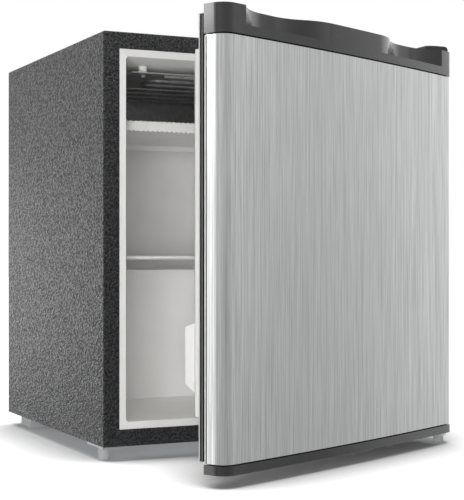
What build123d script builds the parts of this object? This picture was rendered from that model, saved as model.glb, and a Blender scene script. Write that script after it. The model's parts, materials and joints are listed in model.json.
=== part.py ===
"""Compact refrigerator with one bowed steel door, shown with the door ajar.

Working frame: x to the right, y to the back from the front border, z up from the floor.
The finished model is moved so that its origin is the bottom centre of its own box.
"""
from build123d import *
import os
from math import sqrt

# Cabinet
CABINET_W = 445.0
CABINET_D = 380.0
CABINET_H = 467.0
FLOOR_GAP = 17.0
SHEET = 0.8
BEND_R = 2.0
BORDER = 19.0
REAR_RETURN = 12.0
RAIL_LIP = 14.0

# Inner liner
LINER_LIP = 8.4
LINER_TUCK = 4.0
LINER_T = 1.5
LINER_CORNER_R = 4.0
BACK_INSULATION = 38.0
LEDGE_W = 8.0
LEDGE_H = 5.0
LEDGE_SETBACK = 44.0

# Compressor bay
BAY_DEPTH = 130.0
BAY_H = 168.0
BAY_INSULATION = 28.0

# Chiller
CHILLER_GAP = 9.5
EVAPORATOR_W = 340.0
EVAPORATOR_T = 1.6
EVAPORATOR_SETBACK = 47.0
EVAPORATOR_REAR_GAP = 12.0
CHANNEL_R = 3.2
CHANNEL_RUNS = 7
CHANNEL_SIDE_INSET = 44.0
CHANNEL_FRONT_INSET = 11.0
CHANNEL_REAR_INSET = 22.0
SPACER_R = 5.0
SPACER_INSET = 22.0
SMALL_SCREW_R = 2.0
SMALL_HEAD_R = 4.0
SMALL_HEAD_H = 2.2
TRAY_Z = 377.0
TRAY_H = 12.5
TRAY_SETBACK = 45.0
TRAY_SIDE_GAP = 2.0
TRAY_WALL = 3.0
TRAY_REAR_GAP = 4.0
RIB_PITCH = 6.0
RIB_RISE = 1.7

# Wire shelf
SHELF_Z = 227.5
SHELF_SETBACK = 46.0
SHELF_SIDE_GAP = 3.0
SHELF_REAR_GAP = 18.0
FRAME_WIRE_R = 1.9
SHELF_WIRE_R = 1.3
SHELF_CORNER_R = 14.0
SHELF_WIRE_PITCH = 21.0
CROSS_WIRES = 2
CROSS_WIRE_R = 1.5
CROSS_WIRE_DROP = 1.8

# Thermostat
THERMO_L = 100.0
THERMO_H = 56.0
THERMO_DEPTH = 34.0
THERMO_WALL = 2.0
THERMO_SETBACK = 120.0
THERMO_Z = 300.0
THERMO_CORNER_R = 6.0
SWITCH_SIZE = 28.0
SWITCH_DEPTH = 22.0
SHAFT_R = 3.0
SHAFT_SUNK = 11.0
SHAFT_ENTRY = 6.5
KNOB_R = 19.0
KNOB_H = 13.0
KNOB_GRIP_W = 6.0
KNOB_GRIP_H = 6.0
KNOB_GAP = 0.4

# Compressor
MOUNT_PLATE_T = 2.0
MOUNT_FLANGE = 20.0
GROMMET_H = 11.0
GROMMET_R = 10.0
BOLT_R = 3.0
BOLT_HEAD_R = 5.5
BOLT_HEAD_H = 4.0
FOOT_PLATE_T = 3.0
FOOT_PLATE_X = 150.0
FOOT_PLATE_Y = 96.0
FOOT_HOLE_INSET = 12.0
COMPRESSOR_X = 60.0
COMPRESSOR_R = 56.0
COMPRESSOR_H = 126.0
COMPRESSOR_DOME_R = 24.0
COMPRESSOR_WALL = 3.0
SEAM_R = 59.0
SEAM_H = 5.0
PUMP_R = 40.0
PUMP_H = 66.0
PUMP_LEG_R = 5.0
PUMP_LEG_H = 14.0
PUMP_LEG_INSET = 14.0
RELAY_W = 36.0
RELAY_D = 44.0
RELAY_H = 52.0
RELAY_WALL = 2.0
GLAND_R = 7.0
GLAND_BORE_R = 4.0
GLAND_L = 14.0

# Refrigerant circuit
CONDENSER_OFFSET = 28.0
CONDENSER_HALF_W = 165.0
CONDENSER_Z_GAP = 22.0
CONDENSER_TOP_GAP = 40.0
CONDENSER_LOOPS = 5
TUBE_R = 2.4
WIRE_R = 0.8
WIRE_PITCH = 15.0
WIRE_END = 8.0
WIRE_GAP = 0.05
DOWNCOMER_GAP = 18.0
BRACKET_W = 14.0
BRACKET_H = 12.0
BRACKET_INSET = 21.0
DRIER_R = 8.0
DRIER_H = 90.0
DRIER_INSET = 15.0
DRIER_REAR_GAP = 39.0
CAPILLARY_R = 1.1
CAPILLARY_RUN = 32.0
CAPILLARY_BEND_R = 8.0
TUBE_BEND_R = 10.0
DISCHARGE_DROP = 38.0
DISCHARGE_BEND_R = 7.0
BEND_SHARE = 0.42

# Door
GASKET_GAP = 10.6
DOOR_EDGE_T = 27.6
DOOR_BOW = 6.5
DOOR_CORNER_R = 15.5
DOOR_OVERHANG = 3.6
DOOR_TOP_GAP = 0.6
TOP_CAP_H = 29.8
BOTTOM_CAP_H = 9.6
JOINT_GAP = 1.4
SPIGOT_H = 6.0
SPIGOT_GAP = 0.3
SKIN_INSET = 0.9
SKIN_RETURN = 9.0
SKIN_BACK_GAP = 1.5
CAP_RIM = 3.0
DOOR_AJAR = 25.0

# Finger scoops in the top cap
SCOOP_FLUSH_X = 46.5
SCOOP_DEEP_X = 123.0
SCOOP_END_X = 143.0
SCOOP_OUT_X = 191.0
SCOOP_WALL = 11.0
SCOOP_RIM_H = 9.7
SCOOP_RIM_T = 3.5
SCOOP_FLOOR_H = 4.5

# Door liner, gasket and racks
DOOR_LINER_T = 1.5
PLATE_SIDE_GAP = 1.2
DYKE_INSET = 37.0
DYKE_TOP_INSET = 36.8
DYKE_BOTTOM_INSET = 51.0
DYKE_REACH = 41.5
DYKE_CHAMFER = 9.0
DYKE_CREST = 14.0
POCKET_SETBACK = 6.0
GASKET_INSET = 4.0
GASKET_TOP_INSET = 8.0
GASKET_BOTTOM_INSET = 11.6
GASKET_W = 14.0
GASKET_RIB = 2.5
GASKET_GROOVE = 2.3
GASKET_GROOVE_DEPTH = 2.2
SEAL_GAP = 0.3
MAGNET_W = 7.0
MAGNET_T = 2.6
MAGNET_GAP = 0.1
MAGNET_DEPTH = 4.2
RACK_WALL = 2.2
RACK_GAP = 0.4
LOWER_RACK_Z = 86.2
LOWER_RACK_H = 74.8
LOWER_RACK_REACH = 60.0
UPPER_RACK_Z = 268.0
UPPER_RACK_H = 46.0
UPPER_RACK_REACH = 33.0
RACK_CUT_Y = 14.0
RACK_TOP_CUT_H = 5.0
RACK_BOTTOM_CUT_H = 9.0
LUG_D = 20.0
LUG_H = 7.0
LUG_REACH = 5.0

# Hinges
HINGE_SIDE_INSET = 14.5
HINGE_FORWARD = 22.5
PIN_R = 3.0
PIN_CLEARANCE = 0.05
BUSH_R = 6.0
UPPER_BUSH_L = 16.0
LOWER_BUSH_L = 8.0
HINGE_PLATE_T = 2.5
HINGE_PLATE_W = 36.0
HINGE_PLATE_L = 54.0
HINGE_PLATE_SETBACK = 4.0
TONGUE_W = 24.0
TONGUE_NOSE = 8.0
FOOT_TONGUE_NOSE = 11.0
TONGUE_CORNER_R = 9.9
TONGUE_DROP = 1.4
WASHER_R = 7.0
HINGE_SCREW_R = 2.4
HINGE_HEAD_R = 4.2
HINGE_HEAD_H = 2.0
HINGE_SCREW_L = 14.0
HINGE_SCREW_INSET = 12.0
COVER_H = 6.6
COVER_WALL = 1.6
COVER_GAP = 0.5
COVER_RAMP = 18.0
COVER_EDGE_H = 5.5
COVER_NOSE_R = 5.0

# Feet
FOOT_R = 6.4
FOOT_STUD_R = 3.0
FOOT_STUD_L = 7.0
FOOT_BORE_SPARE = 0.5
FOOT_CHAMFER = 1.2
FOOT_X_INSET = 9.0
FRONT_FOOT_RIGHT_Y = -17.0
FRONT_FOOT_LEFT_Y = 24.0
FOOT_RUN_GAP = 0.3
REAR_FOOT_W = 34.0
REAR_FOOT_L = 56.0
REAR_FOOT_TAPER = 8.0
REAR_FOOT_SIDE_INSET = 15.0
REAR_FOOT_BACK_GAP = 4.0
REAR_FOOT_SCREW_L = 8.5

# Screws and plugs
PLUG_HEAD_R = 5.0
PLUG_HEAD_H = 1.2
PLUG_L = 7.0
BACK_SCREWS = 4
CAP_SCREW_X = 150.0
HOLE_GAP = 0.1
CUT_OVER = 1.0

# Levels and planes worked out from the sizes above
HALF_W = CABINET_W / 2
BASE_Z = FLOOR_GAP
TOP_Z = FLOOR_GAP + CABINET_H
INNER_HALF = HALF_W - BORDER - LINER_LIP
INNER_Z0 = BASE_Z + BORDER + LINER_LIP
INNER_Z1 = TOP_Z - BORDER - LINER_LIP
INNER_BACK = CABINET_D - BACK_INSULATION
BAY_Y = CABINET_D - BAY_DEPTH
BAY_TOP = BASE_Z + BAY_H
HUMP_Y = BAY_Y - BAY_INSULATION
HUMP_TOP = BAY_TOP + BAY_INSULATION
EVAPORATOR_Z = INNER_Z1 - CHILLER_GAP
EVAPORATOR_BACK = INNER_BACK - EVAPORATOR_REAR_GAP
DOOR_BACK = -GASKET_GAP
DOOR_EDGE = DOOR_BACK - DOOR_EDGE_T
DOOR_Z0 = BASE_Z - DOOR_OVERHANG
DOOR_Z1 = TOP_Z - DOOR_TOP_GAP
TOP_JOINT = DOOR_Z1 - TOP_CAP_H
BOTTOM_JOINT = DOOR_Z0 + BOTTOM_CAP_H
LINER_FRONT = DOOR_BACK - DOOR_LINER_T
SKIN_BACK = LINER_FRONT - SKIN_BACK_GAP
POCKET_FLOOR = DOOR_BACK + POCKET_SETBACK
DYKE_HALF = HALF_W - DYKE_INSET
POCKET_HALF = DYKE_HALF - DYKE_CREST
DYKE_Z0 = DOOR_Z0 + DYKE_BOTTOM_INSET
DYKE_Z1 = DOOR_Z1 - DYKE_TOP_INSET
HINGE_X = HALF_W - HINGE_SIDE_INSET
HINGE_Y = -HINGE_FORWARD
HINGE_AXIS = Axis((HINGE_X, HINGE_Y, 0), (0, 0, 1))
TONGUE_TOP = DOOR_Z0 - TONGUE_DROP
TONGUE_BOTTOM = TONGUE_TOP - HINGE_PLATE_T
FOOT_X = HALF_W - FOOT_X_INSET
COMPRESSOR_Y = BAY_Y + BAY_DEPTH / 2
GROMMET_Z = BASE_Z + MOUNT_PLATE_T
FOOT_PLATE_Z = GROMMET_Z + GROMMET_H
COMPRESSOR_Z = FOOT_PLATE_Z + FOOT_PLATE_T
CONDENSER_Y = CABINET_D + CONDENSER_OFFSET
CONDENSER_Z0 = BAY_TOP + CONDENSER_Z_GAP
CONDENSER_Z1 = TOP_Z - CONDENSER_TOP_GAP
CONDENSER_RUNS = 2 * CONDENSER_LOOPS + 1
DRIER_X = DRIER_INSET - CONDENSER_HALF_W


def block(x0, x1, y0, y1, z0, z1):
    """Solid between two opposite corners."""
    return Pos(x0, y0, z0) * Box(x1 - x0, y1 - y0, z1 - z0, align=Align.MIN)


def post(x, y, z0, z1, radius):
    """Upright round bar."""
    upright = Cylinder(radius, z1 - z0, align=(Align.CENTER, Align.CENTER, Align.MIN))
    return Pos(x, y, z0) * upright


def bar_x(x0, x1, y, z, radius):
    """Round bar along x."""
    return Pos(x0, y, z) * Rot(0, 90, 0) * post(0, 0, 0, x1 - x0, radius)


def bar_y(x, y0, y1, z, radius):
    """Round bar along y."""
    return Pos(x, y0, z) * Rot(-90, 0, 0) * post(0, 0, 0, y1 - y0, radius)


def bent_tube(points, radius, bend_radius):
    """Round tube along straight runs with rounded bends."""
    path = FilletPolyline(*points, radius=bend_radius)
    section = Plane(origin=path @ 0, z_dir=path % 0) * Circle(radius)
    return sweep(section, path=path)


def group(solids):
    """Several like solids as one node."""
    return Compound([s.solid() for s in solids])


# Cabinet sheet metal


def wrap_block(skin, y1, z0):
    """Cabinet outline, drawn in by a skin thickness, with its folded edges rounded."""
    wrap = block(skin - HALF_W, HALF_W - skin, skin, y1, z0, TOP_Z - skin)
    folds = wrap.edges().filter_by(Axis.Y).group_by(Axis.Z)[-1]
    folds += wrap.edges().filter_by(Axis.Z).group_by(Axis.Y)[0]
    folds += wrap.edges().filter_by(Axis.X).group_by(Axis.Y)[0].sort_by(Axis.Z)[-1:]
    return fillet(folds, BEND_R - skin)


def hinge_screw_places(side):
    """Screw centres of a hinge plate on one side of the cabinet."""
    near = HALF_W - HINGE_SCREW_INSET
    far = near - HINGE_PLATE_W + 2 * HINGE_SCREW_INSET
    front = HINGE_PLATE_SETBACK + HINGE_SCREW_INSET
    back = HINGE_PLATE_SETBACK + HINGE_PLATE_L - HINGE_SCREW_INSET
    return [(side * near, back), (side * far, back), (side * far, front)]


def outer_shell():
    """Textured steel wrap with its front border and rear returns."""
    shell = wrap_block(0, CABINET_D, BASE_Z) - wrap_block(SHEET, CABINET_D - SHEET, BASE_Z - CUT_OVER)
    mouth = HALF_W - BORDER
    shell -= block(-mouth, mouth, -CUT_OVER, SHEET + CUT_OVER, BASE_Z - CUT_OVER, TOP_Z - BORDER)
    rear = HALF_W - REAR_RETURN
    rear_y = CABINET_D - SHEET - CUT_OVER
    shell -= block(-rear, rear, rear_y, CABINET_D + CUT_OVER, BASE_Z - CUT_OVER, TOP_Z - REAR_RETURN)
    for side in (-1, 1):
        for x, y in hinge_screw_places(side):
            shell -= post(x, y, TOP_Z - SHEET - CUT_OVER, TOP_Z + CUT_OVER, HINGE_SCREW_R + HOLE_GAP)
    for x, z in back_screw_places():
        shell -= bar_y(x, rear_y, CABINET_D + CUT_OVER, z, SMALL_SCREW_R + HOLE_GAP)
    return shell


def front_rail():
    """Lower strip of the front border, folded under the base."""
    mouth = HALF_W - BORDER
    rail = block(-mouth, mouth, 0, SHEET, BASE_Z, BASE_Z + BORDER)
    return rail + block(-mouth, mouth, 0, RAIL_LIP, BASE_Z, BASE_Z + SHEET)


def lower_screw_places():
    """Screw centres under the base, for the hinge plate and the opposite foot plate."""
    places = []
    for side in (-1, 1):
        for inset in (HINGE_SCREW_INSET, HINGE_PLATE_W - HINGE_SCREW_INSET):
            places.append((side * (HALF_W - inset), HINGE_PLATE_SETBACK + HINGE_PLATE_L - HINGE_SCREW_INSET))
    return places


def base_pan():
    """Flat sheet under the foam, ahead of the compressor bay."""
    inner = HALF_W - SHEET
    pan = block(-inner, inner, RAIL_LIP, BAY_Y - SHEET, BASE_Z, BASE_Z + SHEET)
    for x, y in lower_screw_places():
        pan -= post(x, y, BASE_Z - CUT_OVER, BASE_Z + CUT_OVER, HINGE_SCREW_R + HOLE_GAP)
    return pan


def back_panel():
    """Rear sheet behind the foam, held by the returns of the shell."""
    half = HALF_W - BEND_R
    panel = block(-half, half, CABINET_D - 2 * SHEET, CABINET_D - SHEET, BAY_TOP, TOP_Z - BEND_R)
    for x, z in back_screw_places():
        panel -= bar_y(x, CABINET_D - 2 * SHEET - CUT_OVER, CABINET_D, z, SMALL_SCREW_R + HOLE_GAP)
    return panel


def bay_panel():
    """Folded sheet that forms the front wall and ceiling of the compressor bay."""
    inner = HALF_W - SHEET
    wall = block(-inner, inner, BAY_Y - SHEET, BAY_Y, BASE_Z, BAY_TOP + SHEET)
    return wall + block(-inner, inner, BAY_Y, CABINET_D - 2 * SHEET, BAY_TOP, BAY_TOP + SHEET)


def back_screw_places():
    """Screw centres along the two upright rear returns."""
    x = HALF_W - REAR_RETURN / 2
    low = BAY_TOP + REAR_RETURN
    step = (TOP_Z - REAR_RETURN - low) / (BACK_SCREWS - 1)
    return [(side * x, low + step * i) for side in (-1, 1) for i in range(BACK_SCREWS)]


def back_screws():
    """Short screws through the rear returns."""
    screws = []
    for x, z in back_screw_places():
        shank = bar_y(x, CABINET_D - 2 * SHEET, CABINET_D, z, SMALL_SCREW_R)
        screws.append(shank + bar_y(x, CABINET_D, CABINET_D + SMALL_HEAD_H, z, SMALL_HEAD_R))
    return group(screws)


# Liner, foam and interior


def tub(grow):
    """Space of the compartment, grown outwards by a wall thickness, with the hump taken out."""
    half = INNER_HALF + grow
    space = block(-half, half, 0, INNER_BACK + grow, INNER_Z0 - grow, INNER_Z1 + grow)
    space = fillet(space.edges().filter_by(Axis.Y), LINER_CORNER_R + grow)
    hump_y = HUMP_Y + grow
    hump_z = HUMP_TOP - grow
    space -= block(-half - CUT_OVER, half + CUT_OVER, hump_y, CABINET_D, BASE_Z, hump_z)
    return space


def ledge_levels():
    """Heights of the ledge tops: under the chiller tray and under the shelf."""
    return [TRAY_Z, SHELF_Z]


def inner_liner():
    """White tub with its front flange and the ledges for tray and shelf."""
    flange_half = INNER_HALF + LINER_LIP + LINER_TUCK
    flange = block(
        -flange_half, flange_half, SHEET, SHEET + LINER_T,
        INNER_Z0 - LINER_LIP - LINER_TUCK, INNER_Z1 + LINER_LIP + LINER_TUCK,
    )
    envelope = tub(LINER_T)
    envelope -= block(-HALF_W, HALF_W, -CUT_OVER, SHEET, BASE_Z, TOP_Z)
    liner = (envelope + flange) - tub(0)
    for top in ledge_levels():
        for side in (-1, 1):
            inner, outer = sorted((side * (INNER_HALF - LEDGE_W), side * INNER_HALF))
            liner += block(inner, outer, LEDGE_SETBACK, INNER_BACK, top - LEDGE_H, top)
    return liner


def cabinet_foam():
    """Insulation that fills the space between liner, shell, base and bay."""
    half = HALF_W - SHEET
    foam = block(-half, half, SHEET + LINER_T, CABINET_D - 2 * SHEET, BASE_Z + SHEET, TOP_Z - SHEET)
    foam = fillet(foam.edges().filter_by(Axis.Y).group_by(Axis.Z)[-1], BEND_R - SHEET)
    foam -= block(-HALF_W, HALF_W, BAY_Y - SHEET, CABINET_D, BASE_Z, BAY_TOP + SHEET)
    foam -= tub(LINER_T)
    for side in (-1, 1):
        for x, y in hinge_screw_places(side):
            foam -= post(x, y, TOP_Z - HINGE_SCREW_L, TOP_Z, HINGE_SCREW_R + HOLE_GAP)
    for x, y in lower_screw_places():
        foam -= post(x, y, BASE_Z, BASE_Z + HINGE_SCREW_L, HINGE_SCREW_R + HOLE_GAP)
    return foam


def spacer_places():
    """Centres of the hangers that carry the chiller plate."""
    x = EVAPORATOR_W / 2 - SPACER_INSET
    front = EVAPORATOR_SETBACK + SPACER_INSET
    back = EVAPORATOR_BACK - SPACER_INSET
    return [(side * x, y) for side in (-1, 1) for y in (front, back)]


def evaporator():
    """Aluminium plate under the ceiling, folded down at the back, with its refrigerant channel."""
    half = EVAPORATOR_W / 2
    top = EVAPORATOR_Z
    plate = block(-half, half, EVAPORATOR_SETBACK, EVAPORATOR_BACK, top - EVAPORATOR_T, top)
    fold_z = TRAY_Z + TRAY_H + RIB_RISE + TRAY_REAR_GAP
    plate += block(-half, half, EVAPORATOR_BACK - EVAPORATOR_T, EVAPORATOR_BACK, fold_z, top)
    reach = half - CHANNEL_SIDE_INSET
    first = EVAPORATOR_SETBACK + CHANNEL_FRONT_INSET
    pitch = (EVAPORATOR_BACK - CHANNEL_REAR_INSET - first) / (CHANNEL_RUNS - 1)
    points = []
    for i in range(CHANNEL_RUNS):
        ends = (-reach, reach) if i % 2 == 0 else (reach, -reach)
        points += [(x, first + i * pitch, top - EVAPORATOR_T) for x in ends]
    plate += bent_tube(points, CHANNEL_R, pitch * BEND_SHARE)
    for x, y in spacer_places():
        plate -= post(x, y, top - EVAPORATOR_T - CUT_OVER, top + CUT_OVER, SMALL_SCREW_R + HOLE_GAP)
    return plate


def evaporator_spacers():
    """Bored hangers between the ceiling and the chiller plate."""
    spacers = []
    for x, y in spacer_places():
        spacer = post(x, y, EVAPORATOR_Z, INNER_Z1, SPACER_R)
        spacers.append(spacer - post(x, y, EVAPORATOR_Z, INNER_Z1, SMALL_SCREW_R + HOLE_GAP))
    return group(spacers)


def evaporator_screws():
    """Screws up through the chiller plate into its hangers."""
    screws = []
    bottom = EVAPORATOR_Z - EVAPORATOR_T
    for x, y in spacer_places():
        head = post(x, y, bottom - SMALL_HEAD_H, bottom, SMALL_HEAD_R)
        screws.append(head + post(x, y, bottom, INNER_Z1, SMALL_SCREW_R))
    return group(screws)


def chiller_tray():
    """Moulded tray whose ribs run front to back and scallop both its edges."""
    half = INNER_HALF - TRAY_SIDE_GAP
    ribs = int(2 * half // RIB_PITCH)
    pitch = 2 * half / ribs
    low = TRAY_Z + RIB_RISE
    high = TRAY_Z + TRAY_H - RIB_RISE
    y = TRAY_SETBACK
    edges = []
    for i in range(ribs):
        a = i * pitch - half
        b = a + pitch
        mid = (a + b) / 2
        edges.append(ThreePointArc((a, y, low), (mid, y, low - RIB_RISE), (b, y, low)))
        edges.append(ThreePointArc((a, y, high), (mid, y, high + RIB_RISE), (b, y, high)))
    edges.append(Line((-half, y, low), (-half, y, high)))
    edges.append(Line((half, y, low), (half, y, high)))
    back = EVAPORATOR_BACK - EVAPORATOR_T - TRAY_REAR_GAP
    tray = extrude(make_face(edges), amount=back - y, dir=(0, 1, 0))
    hollow = half - LEDGE_W
    roof = high - TRAY_WALL
    tray -= block(-hollow, hollow, y + TRAY_WALL, back - TRAY_WALL, TRAY_Z - CUT_OVER, roof)
    return tray


def wire_shelf():
    """Welded wire shelf: a bent frame, bars front to back and cross wires beneath."""
    half = INNER_HALF - SHELF_SIDE_GAP - FRAME_WIRE_R
    front = SHELF_SETBACK + FRAME_WIRE_R
    back = INNER_BACK - SHELF_REAR_GAP
    z = SHELF_Z + FRAME_WIRE_R
    outline = RectangleRounded(2 * half, back - front, SHELF_CORNER_R).wire()
    path = Pos(0, (front + back) / 2, z) * outline
    section = Plane(origin=path @ 0, z_dir=path % 0) * Circle(FRAME_WIRE_R)
    shelf = sweep(section, path=path)
    bars = int((2 * half - 2 * SHELF_CORNER_R) // SHELF_WIRE_PITCH)
    span = bars / 2 * SHELF_WIRE_PITCH
    wires = []
    for i in range(bars + 1):
        x = i * SHELF_WIRE_PITCH - span
        wires.append(bar_y(x, front, back, z, SHELF_WIRE_R))
    for i in range(CROSS_WIRES):
        y = front + (back - front) * (i + 1) / (CROSS_WIRES + 1)
        wires.append(bar_x(-span, span, y, z - CROSS_WIRE_DROP, CROSS_WIRE_R))
    return shelf.fuse(*wires)


# Thermostat on the right wall


def thermostat_centre():
    """Middle of the control face."""
    return THERMO_SETBACK + THERMO_L / 2, THERMO_Z + THERMO_H / 2


def thermostat_box():
    """Hollow cover on the right wall, with a hole for the control shaft."""
    face_x = INNER_HALF - THERMO_DEPTH
    box = block(
        face_x, INNER_HALF, THERMO_SETBACK, THERMO_SETBACK + THERMO_L, THERMO_Z, THERMO_Z + THERMO_H
    )
    box = fillet(box.edges().filter_by(Axis.X), THERMO_CORNER_R)
    y0 = THERMO_SETBACK + THERMO_WALL
    y1 = THERMO_SETBACK + THERMO_L - THERMO_WALL
    z0 = THERMO_Z + THERMO_WALL
    z1 = THERMO_Z + THERMO_H - THERMO_WALL
    hollow = block(face_x + THERMO_WALL, INNER_HALF + CUT_OVER, y0, y1, z0, z1)
    box -= fillet(hollow.edges().filter_by(Axis.X), THERMO_CORNER_R - THERMO_WALL)
    y, z = thermostat_centre()
    return box - bar_x(face_x - CUT_OVER, INNER_HALF, y, z, SHAFT_R + PIN_CLEARANCE)


def thermostat_switch():
    """Metal switch body behind the control face, bored for its shaft."""
    y, z = thermostat_centre()
    x0 = INNER_HALF - THERMO_DEPTH + THERMO_WALL
    half = SWITCH_SIZE / 2
    body = block(x0, x0 + SWITCH_DEPTH, y - half, y + half, z - half, z + half)
    return body - bar_x(x0 - CUT_OVER, x0 + SHAFT_SUNK, y, z, SHAFT_R + PIN_CLEARANCE)


def thermostat_shaft():
    """Control shaft from the switch out into the knob."""
    y, z = thermostat_centre()
    face_x = INNER_HALF - THERMO_DEPTH
    inner_end = face_x + THERMO_WALL + SHAFT_SUNK - KNOB_GAP
    return bar_x(face_x - SHAFT_ENTRY, inner_end, y, z, SHAFT_R)


def thermostat_knob():
    """Round knob with a raised grip bar across its face."""
    y, z = thermostat_centre()
    back_x = INNER_HALF - THERMO_DEPTH - KNOB_GAP
    disc_h = KNOB_H - KNOB_GRIP_H
    knob = bar_x(back_x - disc_h, back_x, y, z, KNOB_R)
    half = KNOB_GRIP_W / 2
    knob += block(back_x - KNOB_H, back_x - disc_h, y - half, y + half, z - KNOB_R + half, z + KNOB_R - half)
    bore_end = INNER_HALF - THERMO_DEPTH - SHAFT_ENTRY
    return knob - bar_x(bore_end, back_x + CUT_OVER, y, z, SHAFT_R + HOLE_GAP)


# Compressor


def foot_hole_places():
    """Centres of the four compressor mounts."""
    x = FOOT_PLATE_X / 2 - FOOT_HOLE_INSET
    y = FOOT_PLATE_Y / 2 - FOOT_HOLE_INSET
    return [(COMPRESSOR_X + i * x, COMPRESSOR_Y + j * y) for i in (-1, 1) for j in (-1, 1)]


def rear_foot_centre(side):
    """Middle of a rear foot."""
    x = HALF_W - REAR_FOOT_SIDE_INSET - REAR_FOOT_W / 2
    return side * x, CABINET_D - REAR_FOOT_BACK_GAP - REAR_FOOT_L / 2


def compressor_tray():
    """Sheet across the bay that carries the compressor, turned up at both ends."""
    inner = HALF_W - SHEET
    y0 = BAY_Y
    y1 = CABINET_D - SHEET
    tray = block(-inner, inner, y0, y1, BASE_Z, BASE_Z + MOUNT_PLATE_T)
    for side in (-1, 1):
        x0, x1 = sorted((side * inner, side * (inner - MOUNT_PLATE_T)))
        tray += block(x0, x1, y0, y1, BASE_Z, BASE_Z + MOUNT_FLANGE)
    for x, y in foot_hole_places():
        tray -= post(x, y, BASE_Z - CUT_OVER, GROMMET_Z + CUT_OVER, BOLT_R + HOLE_GAP)
    for side in (-1, 1):
        x, y = rear_foot_centre(side)
        tray -= post(x, y, BASE_Z - CUT_OVER, GROMMET_Z + CUT_OVER, SMALL_SCREW_R + HOLE_GAP)
    return tray


def compressor_grommets():
    """Rubber cushions under the compressor's foot plate."""
    grommets = []
    for x, y in foot_hole_places():
        ring = post(x, y, GROMMET_Z, FOOT_PLATE_Z, GROMMET_R)
        grommets.append(ring - post(x, y, GROMMET_Z, FOOT_PLATE_Z, BOLT_R + HOLE_GAP))
    return group(grommets)


def compressor_bolts():
    """Bolts down through the foot plate, the cushions and the tray."""
    bolts = []
    top = FOOT_PLATE_Z + FOOT_PLATE_T
    for x, y in foot_hole_places():
        bolts.append(post(x, y, BASE_Z, top, BOLT_R) + post(x, y, top, top + BOLT_HEAD_H, BOLT_HEAD_R))
    return group(bolts)


def compressor_base():
    """Foot plate welded under the compressor."""
    half_x = FOOT_PLATE_X / 2
    half_y = FOOT_PLATE_Y / 2
    plate = block(
        COMPRESSOR_X - half_x, COMPRESSOR_X + half_x,
        COMPRESSOR_Y - half_y, COMPRESSOR_Y + half_y,
        FOOT_PLATE_Z, COMPRESSOR_Z,
    )
    plate = fillet(plate.edges().filter_by(Axis.Z), FOOT_HOLE_INSET)
    for x, y in foot_hole_places():
        plate -= post(x, y, FOOT_PLATE_Z - CUT_OVER, COMPRESSOR_Z + CUT_OVER, BOLT_R + HOLE_GAP)
    return plate


def compressor_shell():
    """Welded steel can with domed ends and a seam."""
    z0 = COMPRESSOR_Z
    z1 = COMPRESSOR_Z + COMPRESSOR_H
    can = post(COMPRESSOR_X, COMPRESSOR_Y, z0, z1, COMPRESSOR_R)
    can = fillet(can.edges().filter_by(GeomType.CIRCLE), COMPRESSOR_DOME_R)
    wall = COMPRESSOR_WALL
    hollow = post(COMPRESSOR_X, COMPRESSOR_Y, z0 + wall, z1 - wall, COMPRESSOR_R - wall)
    hollow = fillet(hollow.edges().filter_by(GeomType.CIRCLE), COMPRESSOR_DOME_R - wall)
    seam_z = (z0 + z1) / 2
    seam = post(COMPRESSOR_X, COMPRESSOR_Y, seam_z - SEAM_H / 2, seam_z + SEAM_H / 2, SEAM_R)
    return can + seam - hollow


def compressor_pump():
    """Motor and pump block standing on its legs inside the can."""
    floor = COMPRESSOR_Z + COMPRESSOR_WALL
    pump = post(COMPRESSOR_X, COMPRESSOR_Y, floor + PUMP_LEG_H, floor + PUMP_LEG_H + PUMP_H, PUMP_R)
    reach = COMPRESSOR_R - COMPRESSOR_DOME_R - PUMP_LEG_INSET
    for i in (-1, 1):
        for j in (-1, 1):
            x = COMPRESSOR_X + i * reach
            y = COMPRESSOR_Y + j * reach
            pump += post(x, y, floor, floor + PUMP_LEG_H, PUMP_LEG_R)
    return pump


def relay_box():
    """Corners of the start relay cover on the left of the can."""
    x1 = COMPRESSOR_X - COMPRESSOR_R
    z0 = COMPRESSOR_Z + (COMPRESSOR_H / 2 - SEAM_H - RELAY_H)
    return x1 - RELAY_W, x1, COMPRESSOR_Y - RELAY_D / 2, COMPRESSOR_Y + RELAY_D / 2, z0, z0 + RELAY_H


def relay_cover():
    """Moulded cover over the start relay and the mains terminals."""
    x0, x1, y0, y1, z0, z1 = relay_box()
    cover = fillet(block(x0, x1, y0, y1, z0, z1).edges().filter_by(Axis.X), 2 * RELAY_WALL)
    wall = RELAY_WALL
    cover -= block(x0 + wall, x1 - wall, y0 + wall, y1 - wall, z0 + wall, z1 - wall)
    return cover - bar_y((x0 + x1) / 2, y1 - wall - CUT_OVER, y1 + CUT_OVER, (z0 + z1) / 2, GLAND_BORE_R)


def cord_gland():
    """Rubber ring where a mains lead would enter the relay cover."""
    x0, x1, y0, y1, z0, z1 = relay_box()
    x = (x0 + x1) / 2
    z = (z0 + z1) / 2
    return bar_y(x, y1, y1 + GLAND_L, z, GLAND_R) - bar_y(x, y1, y1 + GLAND_L, z, GLAND_BORE_R)


# Refrigerant circuit


def condenser_pitch():
    """Height between two runs of the condenser."""
    return (CONDENSER_Z1 - CONDENSER_Z0) / (CONDENSER_RUNS - 1)


def drier_centre_y():
    """Depth of the drier inside the bay."""
    return CABINET_D - DRIER_REAR_GAP


def drier_top():
    """Height of the drier's upper end."""
    return BAY_TOP - 2 * TUBE_BEND_R - TUBE_R


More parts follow.
